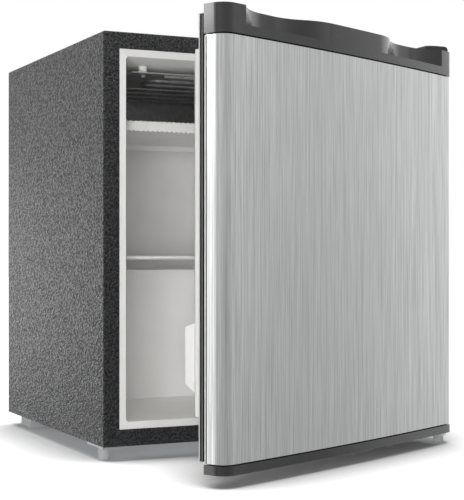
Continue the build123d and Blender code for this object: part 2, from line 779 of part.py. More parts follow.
def condenser_tube():
    """Serpentine tube behind the cabinet, ending at the drier."""
    points = []
    for i in range(CONDENSER_RUNS):
        z = CONDENSER_Z0 + i * condenser_pitch()
        ends = (1, -1) if i % 2 == 0 else (-1, 1)
        points += [(side * CONDENSER_HALF_W, CONDENSER_Y, z) for side in ends]
    last_z = points[-1][2]
    side_x = points[-1][0] + DOWNCOMER_GAP * (1 if points[-1][0] > 0 else -1)
    low_z = drier_top() + TUBE_BEND_R + TUBE_R
    points[-1] = (side_x, CONDENSER_Y, last_z)
    points += [(side_x, CONDENSER_Y, low_z), (side_x, drier_centre_y(), low_z)]
    points += [(DRIER_X, drier_centre_y(), low_z), (DRIER_X, drier_centre_y(), drier_top())]
    return bent_tube(points, TUBE_R, condenser_pitch() * BEND_SHARE)


def condenser_wires():
    """Upright wires welded to both faces of the serpentine."""
    wires = []
    count = int(2 * (CONDENSER_HALF_W - condenser_pitch()) // WIRE_PITCH)
    offset = TUBE_R + WIRE_R + WIRE_GAP
    for i in range(count + 1):
        x = (i - count / 2) * WIRE_PITCH
        y = CONDENSER_Y + offset * (1 if i % 2 == 0 else -1)
        wires.append(post(x, y, CONDENSER_Z0 - WIRE_END, CONDENSER_Z1 + WIRE_END, WIRE_R))
    return group(wires)


def condenser_brackets():
    """Clips that stand the condenser off the rear sheet."""
    clips = []
    for side in (-1, 1):
        for run in (1, CONDENSER_RUNS - 2):
            x0 = side * (CONDENSER_HALF_W - BRACKET_INSET) - BRACKET_W / 2
            x1 = x0 + BRACKET_W
            z = CONDENSER_Z0 + run * condenser_pitch()
            half = BRACKET_H / 2
            clip = block(x0, x1, CABINET_D - SHEET, CONDENSER_Y, z - half, z + half)
            clip -= bar_x(x0 - CUT_OVER, x1 + CUT_OVER, CONDENSER_Y, z, TUBE_R)
            clips.append(clip)
    return group(clips)


def discharge_tube():
    """Hot gas tube from the can to the lowest condenser run."""
    x0 = COMPRESSOR_X + COMPRESSOR_R
    z0 = COMPRESSOR_Z + COMPRESSOR_H - DISCHARGE_DROP
    out_x = (x0 + CONDENSER_HALF_W + DOWNCOMER_GAP) / 2
    points = [
        (x0, COMPRESSOR_Y, z0),
        (out_x, COMPRESSOR_Y, z0),
        (out_x, CONDENSER_Y, z0),
        (CONDENSER_HALF_W + DOWNCOMER_GAP, CONDENSER_Y, z0),
        (CONDENSER_HALF_W + DOWNCOMER_GAP, CONDENSER_Y, CONDENSER_Z0),
        (CONDENSER_HALF_W, CONDENSER_Y, CONDENSER_Z0),
    ]
    return bent_tube(points, TUBE_R, DISCHARGE_BEND_R)


def suction_tube():
    """Cold return tube from the bay ceiling to the top of the can."""
    x0 = COMPRESSOR_X - (COMPRESSOR_R - COMPRESSOR_DOME_R) / 2
    z0 = COMPRESSOR_Z + COMPRESSOR_H
    mid = (z0 + BAY_TOP) / 2
    bend = (BAY_TOP - z0) * BEND_SHARE
    points = [(x0, COMPRESSOR_Y, z0), (x0, COMPRESSOR_Y, mid)]
    points += [(x0 - COMPRESSOR_R, COMPRESSOR_Y, mid), (x0 - COMPRESSOR_R, COMPRESSOR_Y, BAY_TOP)]
    return bent_tube(points, TUBE_R, bend)


def filter_drier():
    """Copper capsule between condenser and capillary."""
    return post(DRIER_X, drier_centre_y(), drier_top() - DRIER_H, drier_top(), DRIER_R)


def capillary_tube():
    """Thin tube from the drier to the bay ceiling."""
    y = drier_centre_y()
    z0 = drier_top() - DRIER_H
    run = CAPILLARY_RUN
    low = z0 - TUBE_BEND_R
    points = [(DRIER_X, y, z0), (DRIER_X, y, low), (DRIER_X + run, y, low), (DRIER_X + run, y, BAY_TOP)]
    return bent_tube(points, CAPILLARY_R, CAPILLARY_BEND_R)


# Hinges and feet


def hinge_plate_x():
    """Left and right edges of the right-hand hinge plates."""
    return HALF_W - HINGE_PLATE_W, HINGE_X + TONGUE_NOSE


def tongue_block(nose, z0, z1):
    """Forward tongue of a hinge plate, reaching a nose length past the hinge axis."""
    y1 = HINGE_PLATE_SETBACK + HINGE_PLATE_T
    x1 = HINGE_X + nose
    tongue = block(x1 - TONGUE_W, x1, HINGE_Y - nose, y1, z0, z1)
    corners = tongue.edges().filter_by(Axis.Z).group_by(Axis.Y)[0]
    return fillet(corners, TONGUE_CORNER_R)


def upper_hinge_plate():
    """Steel plate on the cabinet top, with a tongue over the door."""
    x0, x1 = hinge_plate_x()
    y0 = HINGE_PLATE_SETBACK
    top = TOP_Z + HINGE_PLATE_T
    plate = block(x0, x1, y0, y0 + HINGE_PLATE_L, TOP_Z, top)
    plate += tongue_block(TONGUE_NOSE, TOP_Z, top)
    for x, y in hinge_screw_places(1):
        plate -= post(x, y, TOP_Z - CUT_OVER, top + CUT_OVER, HINGE_SCREW_R + HOLE_GAP)
    return plate - post(HINGE_X, HINGE_Y, TOP_Z - CUT_OVER, top + CUT_OVER, PIN_R + HOLE_GAP)


def upper_hinge_pin():
    """Pin that hangs from the upper tongue into the door."""
    return post(HINGE_X, HINGE_Y, DOOR_Z1 - UPPER_BUSH_L + CUT_OVER, TOP_Z + HINGE_PLATE_T, PIN_R)


def hinge_screw(x, y, seat, tip):
    """Screw whose head sits on a plate and whose tip points away from it."""
    away = 1 if seat > tip else -1
    shank = post(x, y, min(seat, tip), max(seat, tip), HINGE_SCREW_R)
    crown = seat + away * HINGE_HEAD_H
    return shank + post(x, y, min(seat, crown), max(seat, crown), HINGE_HEAD_R)


def upper_hinge_screws():
    """Screws down through the upper hinge plate."""
    seat = TOP_Z + HINGE_PLATE_T
    return group([hinge_screw(x, y, seat, TOP_Z - HINGE_SCREW_L) for x, y in hinge_screw_places(1)])


def lower_hinge_screws():
    """Screws up through the lower hinge plate and the foot plate."""
    seat = BASE_Z - HINGE_PLATE_T
    return group([hinge_screw(x, y, seat, BASE_Z + HINGE_SCREW_L) for x, y in lower_screw_places()])


def hinge_hole_plugs():
    """Plugs in the unused hinge holes at the left of the cabinet top."""
    plugs = []
    for x, y in hinge_screw_places(-1):
        head = post(x, y, TOP_Z, TOP_Z + PLUG_HEAD_H, PLUG_HEAD_R)
        plugs.append(head + post(x, y, TOP_Z - PLUG_L, TOP_Z, HINGE_SCREW_R))
    return group(plugs)


def cover_profile(inset):
    """Cross-section of the hinge cover across the cabinet, drawn in by a wall."""
    x0 = HALF_W - HINGE_PLATE_W - COVER_GAP - COVER_WALL + inset
    x1 = HINGE_X + TONGUE_NOSE + COVER_GAP + COVER_WALL - inset
    top = TOP_Z + COVER_H - inset
    edge = TOP_Z + COVER_EDGE_H - inset
    y = HINGE_Y - TONGUE_NOSE - COVER_GAP - COVER_WALL + inset
    radius = COVER_NOSE_R - inset
    lines = Polyline((x1, y, top - radius), (x1, y, TOP_Z), (x0, y, TOP_Z), (x0, y, edge))
    ramp = TangentArc((x0 + COVER_RAMP, y, top), (x0, y, edge), tangent=(-1, 0, 0))
    crown = Line((x0 + COVER_RAMP, y, top), (x1 - radius, y, top))
    slant = radius * (1 - sqrt(0.5))
    nose = ThreePointArc((x1 - radius, y, top), (x1 - slant, y, top - slant), (x1, y, top - radius))
    return make_face([lines, ramp, crown, nose])


def upper_hinge_cover():
    """Black moulded cover over the upper hinge."""
    front = HINGE_Y - TONGUE_NOSE - COVER_GAP - COVER_WALL
    back = HINGE_PLATE_SETBACK + HINGE_PLATE_L + COVER_GAP + COVER_WALL
    cover = extrude(cover_profile(0), amount=back - front, dir=(0, 1, 0))
    hollow = extrude(cover_profile(COVER_WALL), amount=back - front - 2 * COVER_WALL, dir=(0, 1, 0))
    return cover - hollow


def foot_stud(x, y, seat):
    """Screw stud fixed in a plate, pointing down from its seat."""
    return post(x, y, seat - FOOT_STUD_L, seat + HINGE_PLATE_T, FOOT_STUD_R)


def lower_hinge_plate():
    """Joggled steel plate under the base, with a tongue under the door and a stud for the foot."""
    x0, x1 = hinge_plate_x()
    y0 = HINGE_PLATE_SETBACK
    plate = block(x0, x1, y0, y0 + HINGE_PLATE_L, BASE_Z - HINGE_PLATE_T, BASE_Z)
    web_x1 = HINGE_X + FOOT_TONGUE_NOSE
    plate += block(web_x1 - TONGUE_W, web_x1, y0, y0 + HINGE_PLATE_T, TONGUE_BOTTOM, BASE_Z)
    plate += tongue_block(FOOT_TONGUE_NOSE, TONGUE_BOTTOM, TONGUE_TOP)
    for x, y in lower_screw_places():
        plate -= post(x, y, BASE_Z - HINGE_PLATE_T - CUT_OVER, BASE_Z + CUT_OVER, HINGE_SCREW_R + HOLE_GAP)
    plate -= post(HINGE_X, HINGE_Y, TONGUE_BOTTOM - CUT_OVER, TONGUE_TOP + CUT_OVER, PIN_R + HOLE_GAP)
    return plate + foot_stud(FOOT_X, FRONT_FOOT_RIGHT_Y, TONGUE_BOTTOM)


def lower_hinge_pin():
    """Pin that stands on the lower tongue and carries the door."""
    return post(HINGE_X, HINGE_Y, TONGUE_BOTTOM, DOOR_Z0 + LOWER_BUSH_L - CUT_OVER, PIN_R)


def lower_hinge_washer():
    """Slip washer between the lower tongue and the door."""
    top = DOOR_Z0 - SEAL_GAP
    washer = post(HINGE_X, HINGE_Y, TONGUE_TOP, top, WASHER_R)
    return washer - post(HINGE_X, HINGE_Y, TONGUE_TOP, top, PIN_R + HOLE_GAP)


def left_foot_plate():
    """Plate under the left front corner, with a stud for the levelling foot."""
    y0 = HINGE_PLATE_SETBACK
    bottom = BASE_Z - HINGE_PLATE_T
    plate = block(SHEET - HALF_W, HINGE_PLATE_W - HALF_W, y0, y0 + HINGE_PLATE_L, bottom, BASE_Z)
    for x, y in lower_screw_places():
        plate -= post(x, y, bottom - CUT_OVER, BASE_Z + CUT_OVER, HINGE_SCREW_R + HOLE_GAP)
    return plate + foot_stud(-FOOT_X, FRONT_FOOT_LEFT_Y, bottom)


def levelling_foot(x, y, seat):
    """Round levelling foot, bored for its stud and run up to its seat."""
    top = seat - FOOT_RUN_GAP
    foot = post(x, y, 0, top, FOOT_R)
    foot = chamfer(foot.edges().filter_by(GeomType.CIRCLE), FOOT_CHAMFER)
    bore_end = seat - FOOT_STUD_L - FOOT_BORE_SPARE
    return foot - post(x, y, bore_end, top + CUT_OVER, FOOT_STUD_R + PIN_CLEARANCE)


def rear_feet():
    """Moulded wedge feet under the compressor tray."""
    feet = []
    for side in (-1, 1):
        x, y = rear_foot_centre(side)
        half = REAR_FOOT_L / 2
        front = y - half
        back = y + half
        x0 = x - REAR_FOOT_W / 2
        outline = Polyline(
            (x0, front, BASE_Z), (x0, front + REAR_FOOT_TAPER, 0),
            (x0, back, 0), (x0, back, BASE_Z), close=True,
        )
        foot = extrude(make_face(outline), amount=REAR_FOOT_W, dir=(1, 0, 0))
        foot = fillet(foot.edges().filter_by(Axis.Z), REAR_FOOT_TAPER)
        foot -= post(x, y, BASE_Z - REAR_FOOT_SCREW_L, BASE_Z, SMALL_SCREW_R + HOLE_GAP)
        feet.append(foot)
    return group(feet)


def rear_foot_screws():
    """Screws from inside the bay down into the rear feet."""
    screws = []
    for side in (-1, 1):
        x, y = rear_foot_centre(side)
        head = post(x, y, GROMMET_Z, GROMMET_Z + SMALL_HEAD_H, SMALL_HEAD_R)
        screws.append(head + post(x, y, BASE_Z - REAR_FOOT_SCREW_L, GROMMET_Z, SMALL_SCREW_R))
    return group(screws)


# Door, modelled closed


def front_y(x):
    """Depth of the bowed front at a place across the door."""
    radius = (HALF_W**2 + DOOR_BOW**2) / (2 * DOOR_BOW)
    return DOOR_EDGE - DOOR_BOW + radius - sqrt(radius**2 - x**2)


def door_plan(inset, back):
    """Outline of the door from above, drawn in by an inset, with rounded front corners."""
    half = HALF_W - inset
    edge = DOOR_EDGE + inset
    bow = ThreePointArc((-half, edge), (0, edge - DOOR_BOW), (half, edge))
    sides = Polyline((half, edge), (half, back), (-half, back), (-half, edge))
    plan = make_face([bow, sides])
    return fillet(plan.vertices().sort_by(Axis.Y)[:2], DOOR_CORNER_R - inset)


def door_slice(inset, back, z0, z1):
    """Solid of the door outline between two heights."""
    return Pos(0, 0, z0) * extrude(door_plan(inset, back), amount=z1 - z0)


def door_skin():
    """Brushed steel sheet wrapped round the front and sides."""
    z0 = BOTTOM_JOINT + JOINT_GAP
    z1 = TOP_JOINT - JOINT_GAP
    skin = door_slice(SKIN_INSET, SKIN_BACK, z0, z1)
    skin -= door_slice(SKIN_INSET + SHEET, SKIN_BACK - SHEET, z0 - CUT_OVER, z1 + CUT_OVER)
    half = HALF_W - SKIN_INSET - SKIN_RETURN
    y0 = SKIN_BACK - SHEET - CUT_OVER
    return skin - block(-half, half, y0, SKIN_BACK + CUT_OVER, z0 - CUT_OVER, z1 + CUT_OVER)


def scoop_plan():
    """Outline from above of the right-hand finger scoop, open to the front."""
    wall = DOOR_BACK - SCOOP_WALL
    start = (SCOOP_FLUSH_X, front_y(SCOOP_FLUSH_X))
    deep = (SCOOP_DEEP_X, wall)
    middle = ((start[0] + deep[0]) / 2, (start[1] + deep[1]) / 2)
    corner = (SCOOP_END_X, wall)
    end = (SCOOP_OUT_X, front_y(SCOOP_OUT_X))
    ahead = DOOR_EDGE - 2 * DOOR_BOW
    rise = TangentArc(start, middle, tangent=(1, 0))
    settle = TangentArc(deep, middle, tangent=(-1, 0))
    flat = Line(deep, corner)
    sweep_out = TangentArc(corner, end, tangent=(1, 0))
    mouth = Polyline(end, (end[0], ahead), (start[0], ahead), start)
    return make_face([rise, settle, flat, sweep_out, mouth])


def scoop_cuts():
    """Both finger scoops: open above the rim, and a finger pocket behind it."""
    rim = TOP_JOINT + SCOOP_RIM_H
    floor = TOP_JOINT + SCOOP_FLOOR_H
    upper = Pos(0, 0, rim) * extrude(scoop_plan(), amount=DOOR_Z1 - rim + CUT_OVER)
    pocket = Pos(0, 0, floor) * extrude(scoop_plan(), amount=DOOR_Z1 - floor + CUT_OVER)
    pocket = pocket & door_slice(SCOOP_RIM_T, DOOR_BACK, floor, DOOR_Z1 + CUT_OVER)
    right = upper + pocket
    return right + mirror(right, about=Plane.YZ)


def hinge_bores(z0, z1):
    """Bores for the hinge bushes at both sides, so that the door can be hung either way."""
    radius = BUSH_R + HOLE_GAP
    return post(HINGE_X, HINGE_Y, z0, z1, radius) + post(-HINGE_X, HINGE_Y, z0, z1, radius)


def liner_seat():
    """Recess in the caps for the edge of the door liner."""
    half = HALF_W - CAP_RIM
    return block(-half, half, LINER_FRONT, DOOR_BACK + CUT_OVER, DOOR_Z0 + CAP_RIM, DOOR_Z1 - CAP_RIM)


def door_top_cap():
    """Dark moulded cap with two finger scoops."""
    cap = door_slice(0, DOOR_BACK, TOP_JOINT, DOOR_Z1)
    spigot = SKIN_INSET + SHEET + SPIGOT_GAP
    cap += door_slice(spigot, SKIN_BACK - SHEET - SPIGOT_GAP, TOP_JOINT - SPIGOT_H, TOP_JOINT)
    cap -= scoop_cuts()
    cap -= liner_seat()
    return cap - hinge_bores(DOOR_Z1 - UPPER_BUSH_L, DOOR_Z1 + CUT_OVER)


def door_bottom_cap():
    """Dark moulded cap under the door."""
    cap = door_slice(0, DOOR_BACK, DOOR_Z0, BOTTOM_JOINT)
    spigot = SKIN_INSET + SHEET + SPIGOT_GAP
    cap += door_slice(spigot, SKIN_BACK - SHEET - SPIGOT_GAP, BOTTOM_JOINT, BOTTOM_JOINT + SPIGOT_H)
    cap -= liner_seat()
    for x, y in cap_screw_places():
        cap -= post(x, y, DOOR_Z0 - CUT_OVER, BOTTOM_JOINT + SPIGOT_H + CUT_OVER, SMALL_SCREW_R + HOLE_GAP)
        cap -= post(x, y, DOOR_Z0 - CUT_OVER, DOOR_Z0 + SMALL_HEAD_H, SMALL_HEAD_R + HOLE_GAP)
    return cap - hinge_bores(DOOR_Z0 - CUT_OVER, DOOR_Z0 + LOWER_BUSH_L)


def cap_screw_places():
    """Screw centres under the bottom cap."""
    return [(side * CAP_SCREW_X, HINGE_Y) for side in (-1, 1)]


def cap_screws():
    """Sunk screws up through the bottom cap."""
    screws = []
    for x, y in cap_screw_places():
        head = post(x, y, DOOR_Z0, DOOR_Z0 + SMALL_HEAD_H, SMALL_HEAD_R)
        screws.append(head + post(x, y, DOOR_Z0 + SMALL_HEAD_H, BOTTOM_JOINT + SPIGOT_H, SMALL_SCREW_R))
    return group(screws)


def door_bushes():
    """Bored bushes in the caps, on the hinge axis."""
    bore = PIN_R + PIN_CLEARANCE
    upper = post(HINGE_X, HINGE_Y, DOOR_Z1 - UPPER_BUSH_L, DOOR_Z1, BUSH_R)
    upper -= post(HINGE_X, HINGE_Y, DOOR_Z1 - UPPER_BUSH_L, DOOR_Z1, bore)
    lower = post(HINGE_X, HINGE_Y, DOOR_Z0, DOOR_Z0 + LOWER_BUSH_L, BUSH_R)
    lower -= post(HINGE_X, HINGE_Y, DOOR_Z0, DOOR_Z0 + LOWER_BUSH_L, bore)
    return group([upper, lower])


def door_hole_plugs():
    """Plugs that close the unused bores at the free side."""
    upper = post(-HINGE_X, HINGE_Y, DOOR_Z1 - UPPER_BUSH_L, DOOR_Z1, BUSH_R)
    lower = post(-HINGE_X, HINGE_Y, DOOR_Z0, DOOR_Z0 + LOWER_BUSH_L, BUSH_R)
    return group([upper, lower])


def dyke_form(shrink):
    """Raised rim of the door liner, drawn in by a wall, with the pocket taken out."""
    half = DYKE_HALF - shrink
    z0 = DYKE_Z0 + shrink
    z1 = DYKE_Z1 - shrink
    rim = block(-half, half, LINER_FRONT, DYKE_REACH - shrink, z0, z1)
    rim = chamfer(rim.faces().sort_by(Axis.Y)[-1].edges(), DYKE_CHAMFER)
    hole = POCKET_HALF + shrink
    hole_z0 = DYKE_Z0 + DYKE_CREST - shrink
    hole_z1 = DYKE_Z1 - DYKE_CREST + shrink
    return rim - block(-hole, hole, POCKET_FLOOR - shrink, DYKE_REACH + CUT_OVER, hole_z0, hole_z1)


def door_liner():
    """White formed sheet: flat flange, raised rim, pocket and lugs for the racks."""
    seat = HALF_W - CAP_RIM - SPIGOT_GAP
    wide = HALF_W - PLATE_SIDE_GAP
    z_low = DOOR_Z0 + CAP_RIM + SPIGOT_GAP
    z_high = DOOR_Z1 - CAP_RIM - SPIGOT_GAP
    liner = block(-seat, seat, LINER_FRONT, DOOR_BACK, z_low, z_high)
    liner += block(-wide, wide, LINER_FRONT, DOOR_BACK, BOTTOM_JOINT + JOINT_GAP, TOP_JOINT - JOINT_GAP)
    liner += dyke_form(0)
    liner -= dyke_form(DOOR_LINER_T)
    for z in (LOWER_RACK_Z, UPPER_RACK_Z):
        for side in (-1, 1):
            x0, x1 = sorted((side * POCKET_HALF, side * (POCKET_HALF - LUG_REACH)))
            liner += block(x0, x1, POCKET_FLOOR, POCKET_FLOOR + LUG_D, z - LUG_H, z)
    return liner


def door_foam():
    """Insulation between the steel skin and the door liner, short of the open joint at both sides."""
    z0 = BOTTOM_JOINT + SPIGOT_H
    z1 = TOP_JOINT - SPIGOT_H
    foam = door_slice(SKIN_INSET + SHEET, LINER_FRONT, z0, z1)
    foam -= door_skin()
    rim = HALF_W - SKIN_INSET - SKIN_RETURN
    for x0, x1 in ((-HALF_W, -rim), (rim, HALF_W)):
        foam -= block(x0, x1, SKIN_BACK, LINER_FRONT, z0, z1)
    return foam + dyke_form(DOOR_LINER_T)


def gasket_ring(inset, y0, y1):
    """Rectangular ring of the gasket between two depths."""
    half = HALF_W - GASKET_INSET
    z0 = DOOR_Z0 + GASKET_BOTTOM_INSET
    z1 = DOOR_Z1 - GASKET_TOP_INSET
    ring = block(inset - half, half - inset, y0, y1, z0 + inset, z1 - inset)
    w = GASKET_W
    return ring - block(w - half, half - w, y0 - CUT_OVER, y1 + CUT_OVER, z0 + w, z1 - w)


def magnet_bars(gap):
    """Four bars inside the gasket, or their pockets when given a gap."""
    side = (GASKET_W - MAGNET_W) / 2
    half = HALF_W - GASKET_INSET - side
    z0 = DOOR_Z0 + GASKET_BOTTOM_INSET + side
    z1 = DOOR_Z1 - GASKET_TOP_INSET - side
    y1 = -MAGNET_DEPTH + gap
    y0 = -MAGNET_DEPTH - MAGNET_T - gap
    w = MAGNET_W
    bars = []
    for x in (-half, half - w):
        bars.append(block(x - gap, x + w + gap, y0, y1, z0 + 2 * w - gap, z1 - 2 * w + gap))
    for z in (z0, z1 - w):
        bars.append(block(2 * w - half - gap, half - 2 * w + gap, y0, y1, z - gap, z + w + gap))
    return bars


def door_gasket():
    """Ribbed bellows gasket, relieved on the hinge side so that it swings clear."""
    gasket = gasket_ring(0, DOOR_BACK, -SEAL_GAP)
    y = DOOR_BACK
    for _ in range(2):
        groove = gasket_ring(-CUT_OVER, y, y + GASKET_GROOVE)
        gasket -= groove - gasket_ring(GASKET_GROOVE_DEPTH, y - CUT_OVER, y + GASKET_GROOVE + CUT_OVER)
        y += GASKET_GROOVE + GASKET_RIB
    outside = block(HINGE_X, HALF_W, DOOR_BACK - CUT_OVER, CUT_OVER, DOOR_Z0, DOOR_Z1)
    swing = post(HINGE_X, HINGE_Y, DOOR_Z0 - CUT_OVER, DOOR_Z1 + CUT_OVER, HINGE_FORWARD - SEAL_GAP)
    gasket -= outside - swing
    for pocket in magnet_bars(MAGNET_GAP):
        gasket -= pocket
    return gasket


def gasket_magnets():
    """Flexible magnets inside the gasket."""
    return group(magnet_bars(0))


def door_rack(z0, height, reach):
    """Bin between the liner walls, its sides cut back at the top and bottom."""
    half = POCKET_HALF - RACK_GAP
    y0 = POCKET_FLOOR + RACK_GAP
    z1 = z0 + height
    cut_y = reach - RACK_CUT_Y
    outline = Polyline(
        (-half, y0, z0), (-half, cut_y, z0), (-half, reach, z0 + RACK_BOTTOM_CUT_H),
        (-half, reach, z1 - RACK_TOP_CUT_H), (-half, cut_y, z1), (-half, y0, z1), close=True,
    )
    bin_solid = extrude(make_face(outline), amount=2 * half, dir=(1, 0, 0))
    wall = RACK_WALL
    inside = Polyline(
        (wall - half, y0 - CUT_OVER, z0 + wall), (wall - half, cut_y - wall / 2, z0 + wall),
        (wall - half, reach - wall, z0 + RACK_BOTTOM_CUT_H + wall / 2),
        (wall - half, reach - wall, z1 + CUT_OVER), (wall - half, y0 - CUT_OVER, z1 + CUT_OVER), close=True,
    )
    return bin_solid - extrude(make_face(inside), amount=2 * (half - wall), dir=(1, 0, 0))


def cabinet_parts():
    """Every piece that stays with the cabinet, or moves on it by itself."""
    return {
        "outer_shell": outer_shell(),
        "front_rail": front_rail(),
        "base_pan": base_pan(),
        "back_panel": back_panel(),
        "bay_panel": bay_panel(),
        "back_screws": back_screws(),
        "cabinet_foam": cabinet_foam(),
        "inner_liner": inner_liner(),
        "evaporator": evaporator(),
        "evaporator_spacers": evaporator_spacers(),
        "evaporator_screws": evaporator_screws(),
        "chiller_tray": chiller_tray(),
        "wire_shelf": wire_shelf(),
        "thermostat_box": thermostat_box(),
        "thermostat_switch": thermostat_switch(),
        "thermostat_shaft": thermostat_shaft(),
        "thermostat_knob": thermostat_knob(),
        "compressor_tray": compressor_tray(),
        "compressor_grommets": compressor_grommets(),
        "compressor_bolts": compressor_bolts(),
        "compressor_base": compressor_base(),
        "compressor_shell": compressor_shell(),
        "compressor_pump": compressor_pump(),
        "relay_cover": relay_cover(),
        "cord_gland": cord_gland(),
        "condenser_tube": condenser_tube(),
        "condenser_wires": condenser_wires(),
        "condenser_brackets": condenser_brackets(),
        "discharge_tube": discharge_tube(),
        "suction_tube": suction_tube(),
        "filter_drier": filter_drier(),
        "capillary_tube": capillary_tube(),
        "upper_hinge_plate": upper_hinge_plate(),
        "upper_hinge_pin": upper_hinge_pin(),
        "upper_hinge_screws": upper_hinge_screws(),
        "upper_hinge_cover": upper_hinge_cover(),
        "hinge_hole_plugs": hinge_hole_plugs(),
        "lower_hinge_plate": lower_hinge_plate(),
        "lower_hinge_pin": lower_hinge_pin(),
        "lower_hinge_screws": lower_hinge_screws(),
        "lower_hinge_washer": lower_hinge_washer(),
        "left_foot_plate": left_foot_plate(),
        "front_foot_right": levelling_foot(FOOT_X, FRONT_FOOT_RIGHT_Y, TONGUE_BOTTOM),
        "front_foot_left": levelling_foot(-FOOT_X, FRONT_FOOT_LEFT_Y, BASE_Z - HINGE_PLATE_T),
        "rear_feet": rear_feet(),
        "rear_foot_screws": rear_foot_screws(),
    }


def door_parts():
    """Every piece of the door, swung from closed to ajar."""
    closed = {
        "door_skin": door_skin(),
        "door_top_cap": door_top_cap(),
        "door_bottom_cap": door_bottom_cap(),
        "cap_screws": cap_screws(),
        "door_bushes": door_bushes(),
        "door_hole_plugs": door_hole_plugs(),
        "door_foam": door_foam(),
        "door_liner": door_liner(),
        "door_gasket": door_gasket(),
        "gasket_magnets": gasket_magnets(),
        "lower_door_rack": door_rack(LOWER_RACK_Z, LOWER_RACK_H, LOWER_RACK_REACH),
        "upper_door_rack": door_rack(UPPER_RACK_Z, UPPER_RACK_H, UPPER_RACK_REACH),
    }
    return {name: shape.rotate(HINGE_AXIS, DOOR_AJAR) for name, shape in closed.items()}


def origin_shift(parts):
    """Move that brings the bottom centre of the whole model's box to the origin."""
    boxes = [shape.bounding_box() for shape in parts.values()]
    x = (min(b.min.X for b in boxes) + max(b.max.X for b in boxes)) / 2
    y = (min(b.min.Y for b in boxes) + max(b.max.Y for b in boxes)) / 2
    return Pos(-x, -y, 0)


PARTS = cabinet_parts() | door_parts()
SHIFT = origin_shift(PARTS)
os.makedirs("parts", exist_ok=True)
for node, solid in PARTS.items():
    export_step(SHIFT * solid, f"parts/{node}.step")
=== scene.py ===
"""Looks of a compact refrigerator: finishes, formed shells and trim around its packed construction."""

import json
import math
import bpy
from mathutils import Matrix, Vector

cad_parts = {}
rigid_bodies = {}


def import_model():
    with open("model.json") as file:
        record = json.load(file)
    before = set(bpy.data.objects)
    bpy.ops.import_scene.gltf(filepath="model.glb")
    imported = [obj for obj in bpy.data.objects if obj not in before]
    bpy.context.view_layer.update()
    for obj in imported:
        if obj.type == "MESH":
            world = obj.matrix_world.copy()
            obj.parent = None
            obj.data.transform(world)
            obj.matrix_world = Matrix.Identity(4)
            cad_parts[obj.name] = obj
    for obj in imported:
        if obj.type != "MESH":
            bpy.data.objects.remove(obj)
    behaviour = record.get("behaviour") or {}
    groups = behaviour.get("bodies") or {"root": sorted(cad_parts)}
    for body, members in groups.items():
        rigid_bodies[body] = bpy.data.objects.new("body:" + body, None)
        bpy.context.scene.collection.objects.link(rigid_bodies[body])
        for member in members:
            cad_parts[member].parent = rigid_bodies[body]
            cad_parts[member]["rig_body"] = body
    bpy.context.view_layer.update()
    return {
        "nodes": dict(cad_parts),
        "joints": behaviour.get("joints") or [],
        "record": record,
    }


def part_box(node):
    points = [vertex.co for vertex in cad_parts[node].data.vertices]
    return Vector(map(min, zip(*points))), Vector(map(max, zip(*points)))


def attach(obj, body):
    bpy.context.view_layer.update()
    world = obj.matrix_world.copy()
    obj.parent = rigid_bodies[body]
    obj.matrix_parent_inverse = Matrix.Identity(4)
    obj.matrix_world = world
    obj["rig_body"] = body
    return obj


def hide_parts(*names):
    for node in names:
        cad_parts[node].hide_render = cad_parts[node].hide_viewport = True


bl_info = {
    "name": "Mini Fridge Looks",
    "version": (1, 0, 0),
    "blender": (4, 5, 0),
    "location": "View3D > Sidebar > Fridge",
    "description": "Finishes, formed shells and a studio stage for a compact refrigerator",
    "category": "Object",
}

import bmesh
import bpy
from bpy.props import FloatProperty, FloatVectorProperty, IntProperty, PointerProperty
from bpy.types import Operator, Panel, PropertyGroup
from mathutils import Matrix, Vector

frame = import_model()

# Places read from the frame
JOINTS = {joint["name"]: joint for joint in frame["joints"]}
HINGE = Vector(JOINTS["door_swing"]["pos_m"])
AJAR = -math.radians(JOINTS["door_swing"]["range_deg"][0])
OPENED = Matrix.Translation(HINGE) @ Matrix.Rotation(AJAR, 4, "Z") @ Matrix.Translation(-HINGE)
CLOSED = OPENED.inverted()
SHELL_LOW, SHELL_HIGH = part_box("outer_shell")
CABINET_X = (SHELL_LOW.x + SHELL_HIGH.x) / 2
FRONT_Y = SHELL_LOW.y
SLOT_OF = {row["node"]: row["material_slot"] for row in frame["record"]["subparts"]}

# Working tolerances
WELD = 0.00002
FLAT_ANGLE = math.radians(0.1)
SMOOTH_ANGLE = math.radians(32)
SHARP_ANGLE = math.radians(35)
ROD_ANGLE = math.radians(50)
CUT_OVER = 0.001

# Rounding of edges, and the walls of the seal's folds
SHEET_EDGE = 0.0002
FINE_EDGE = 0.0004
SMALL_EDGE = 0.0005
PRESSED_EDGE = 0.0006
RACK_EDGE = 0.001
MOULDED_EDGE = 0.0012
BLOCK_EDGE = 0.0015
FOLD_WALL = 0.0003


def span(points):
    """Lowest and highest corners of a list of points."""
    low = Vector(min(point[axis] for point in points) for axis in range(3))
    high = Vector(max(point[axis] for point in points) for axis in range(3))
    return low, high


def closed_box(node):
    """Lowest and highest corners of a door piece with the door closed."""
    return span([CLOSED @ vertex.co for vertex in frame["nodes"][node].data.vertices])


DOOR_LOW, DOOR_HIGH = closed_box("door_top_cap")
DOOR_X = (DOOR_LOW.x + DOOR_HIGH.x) / 2


# Node trees


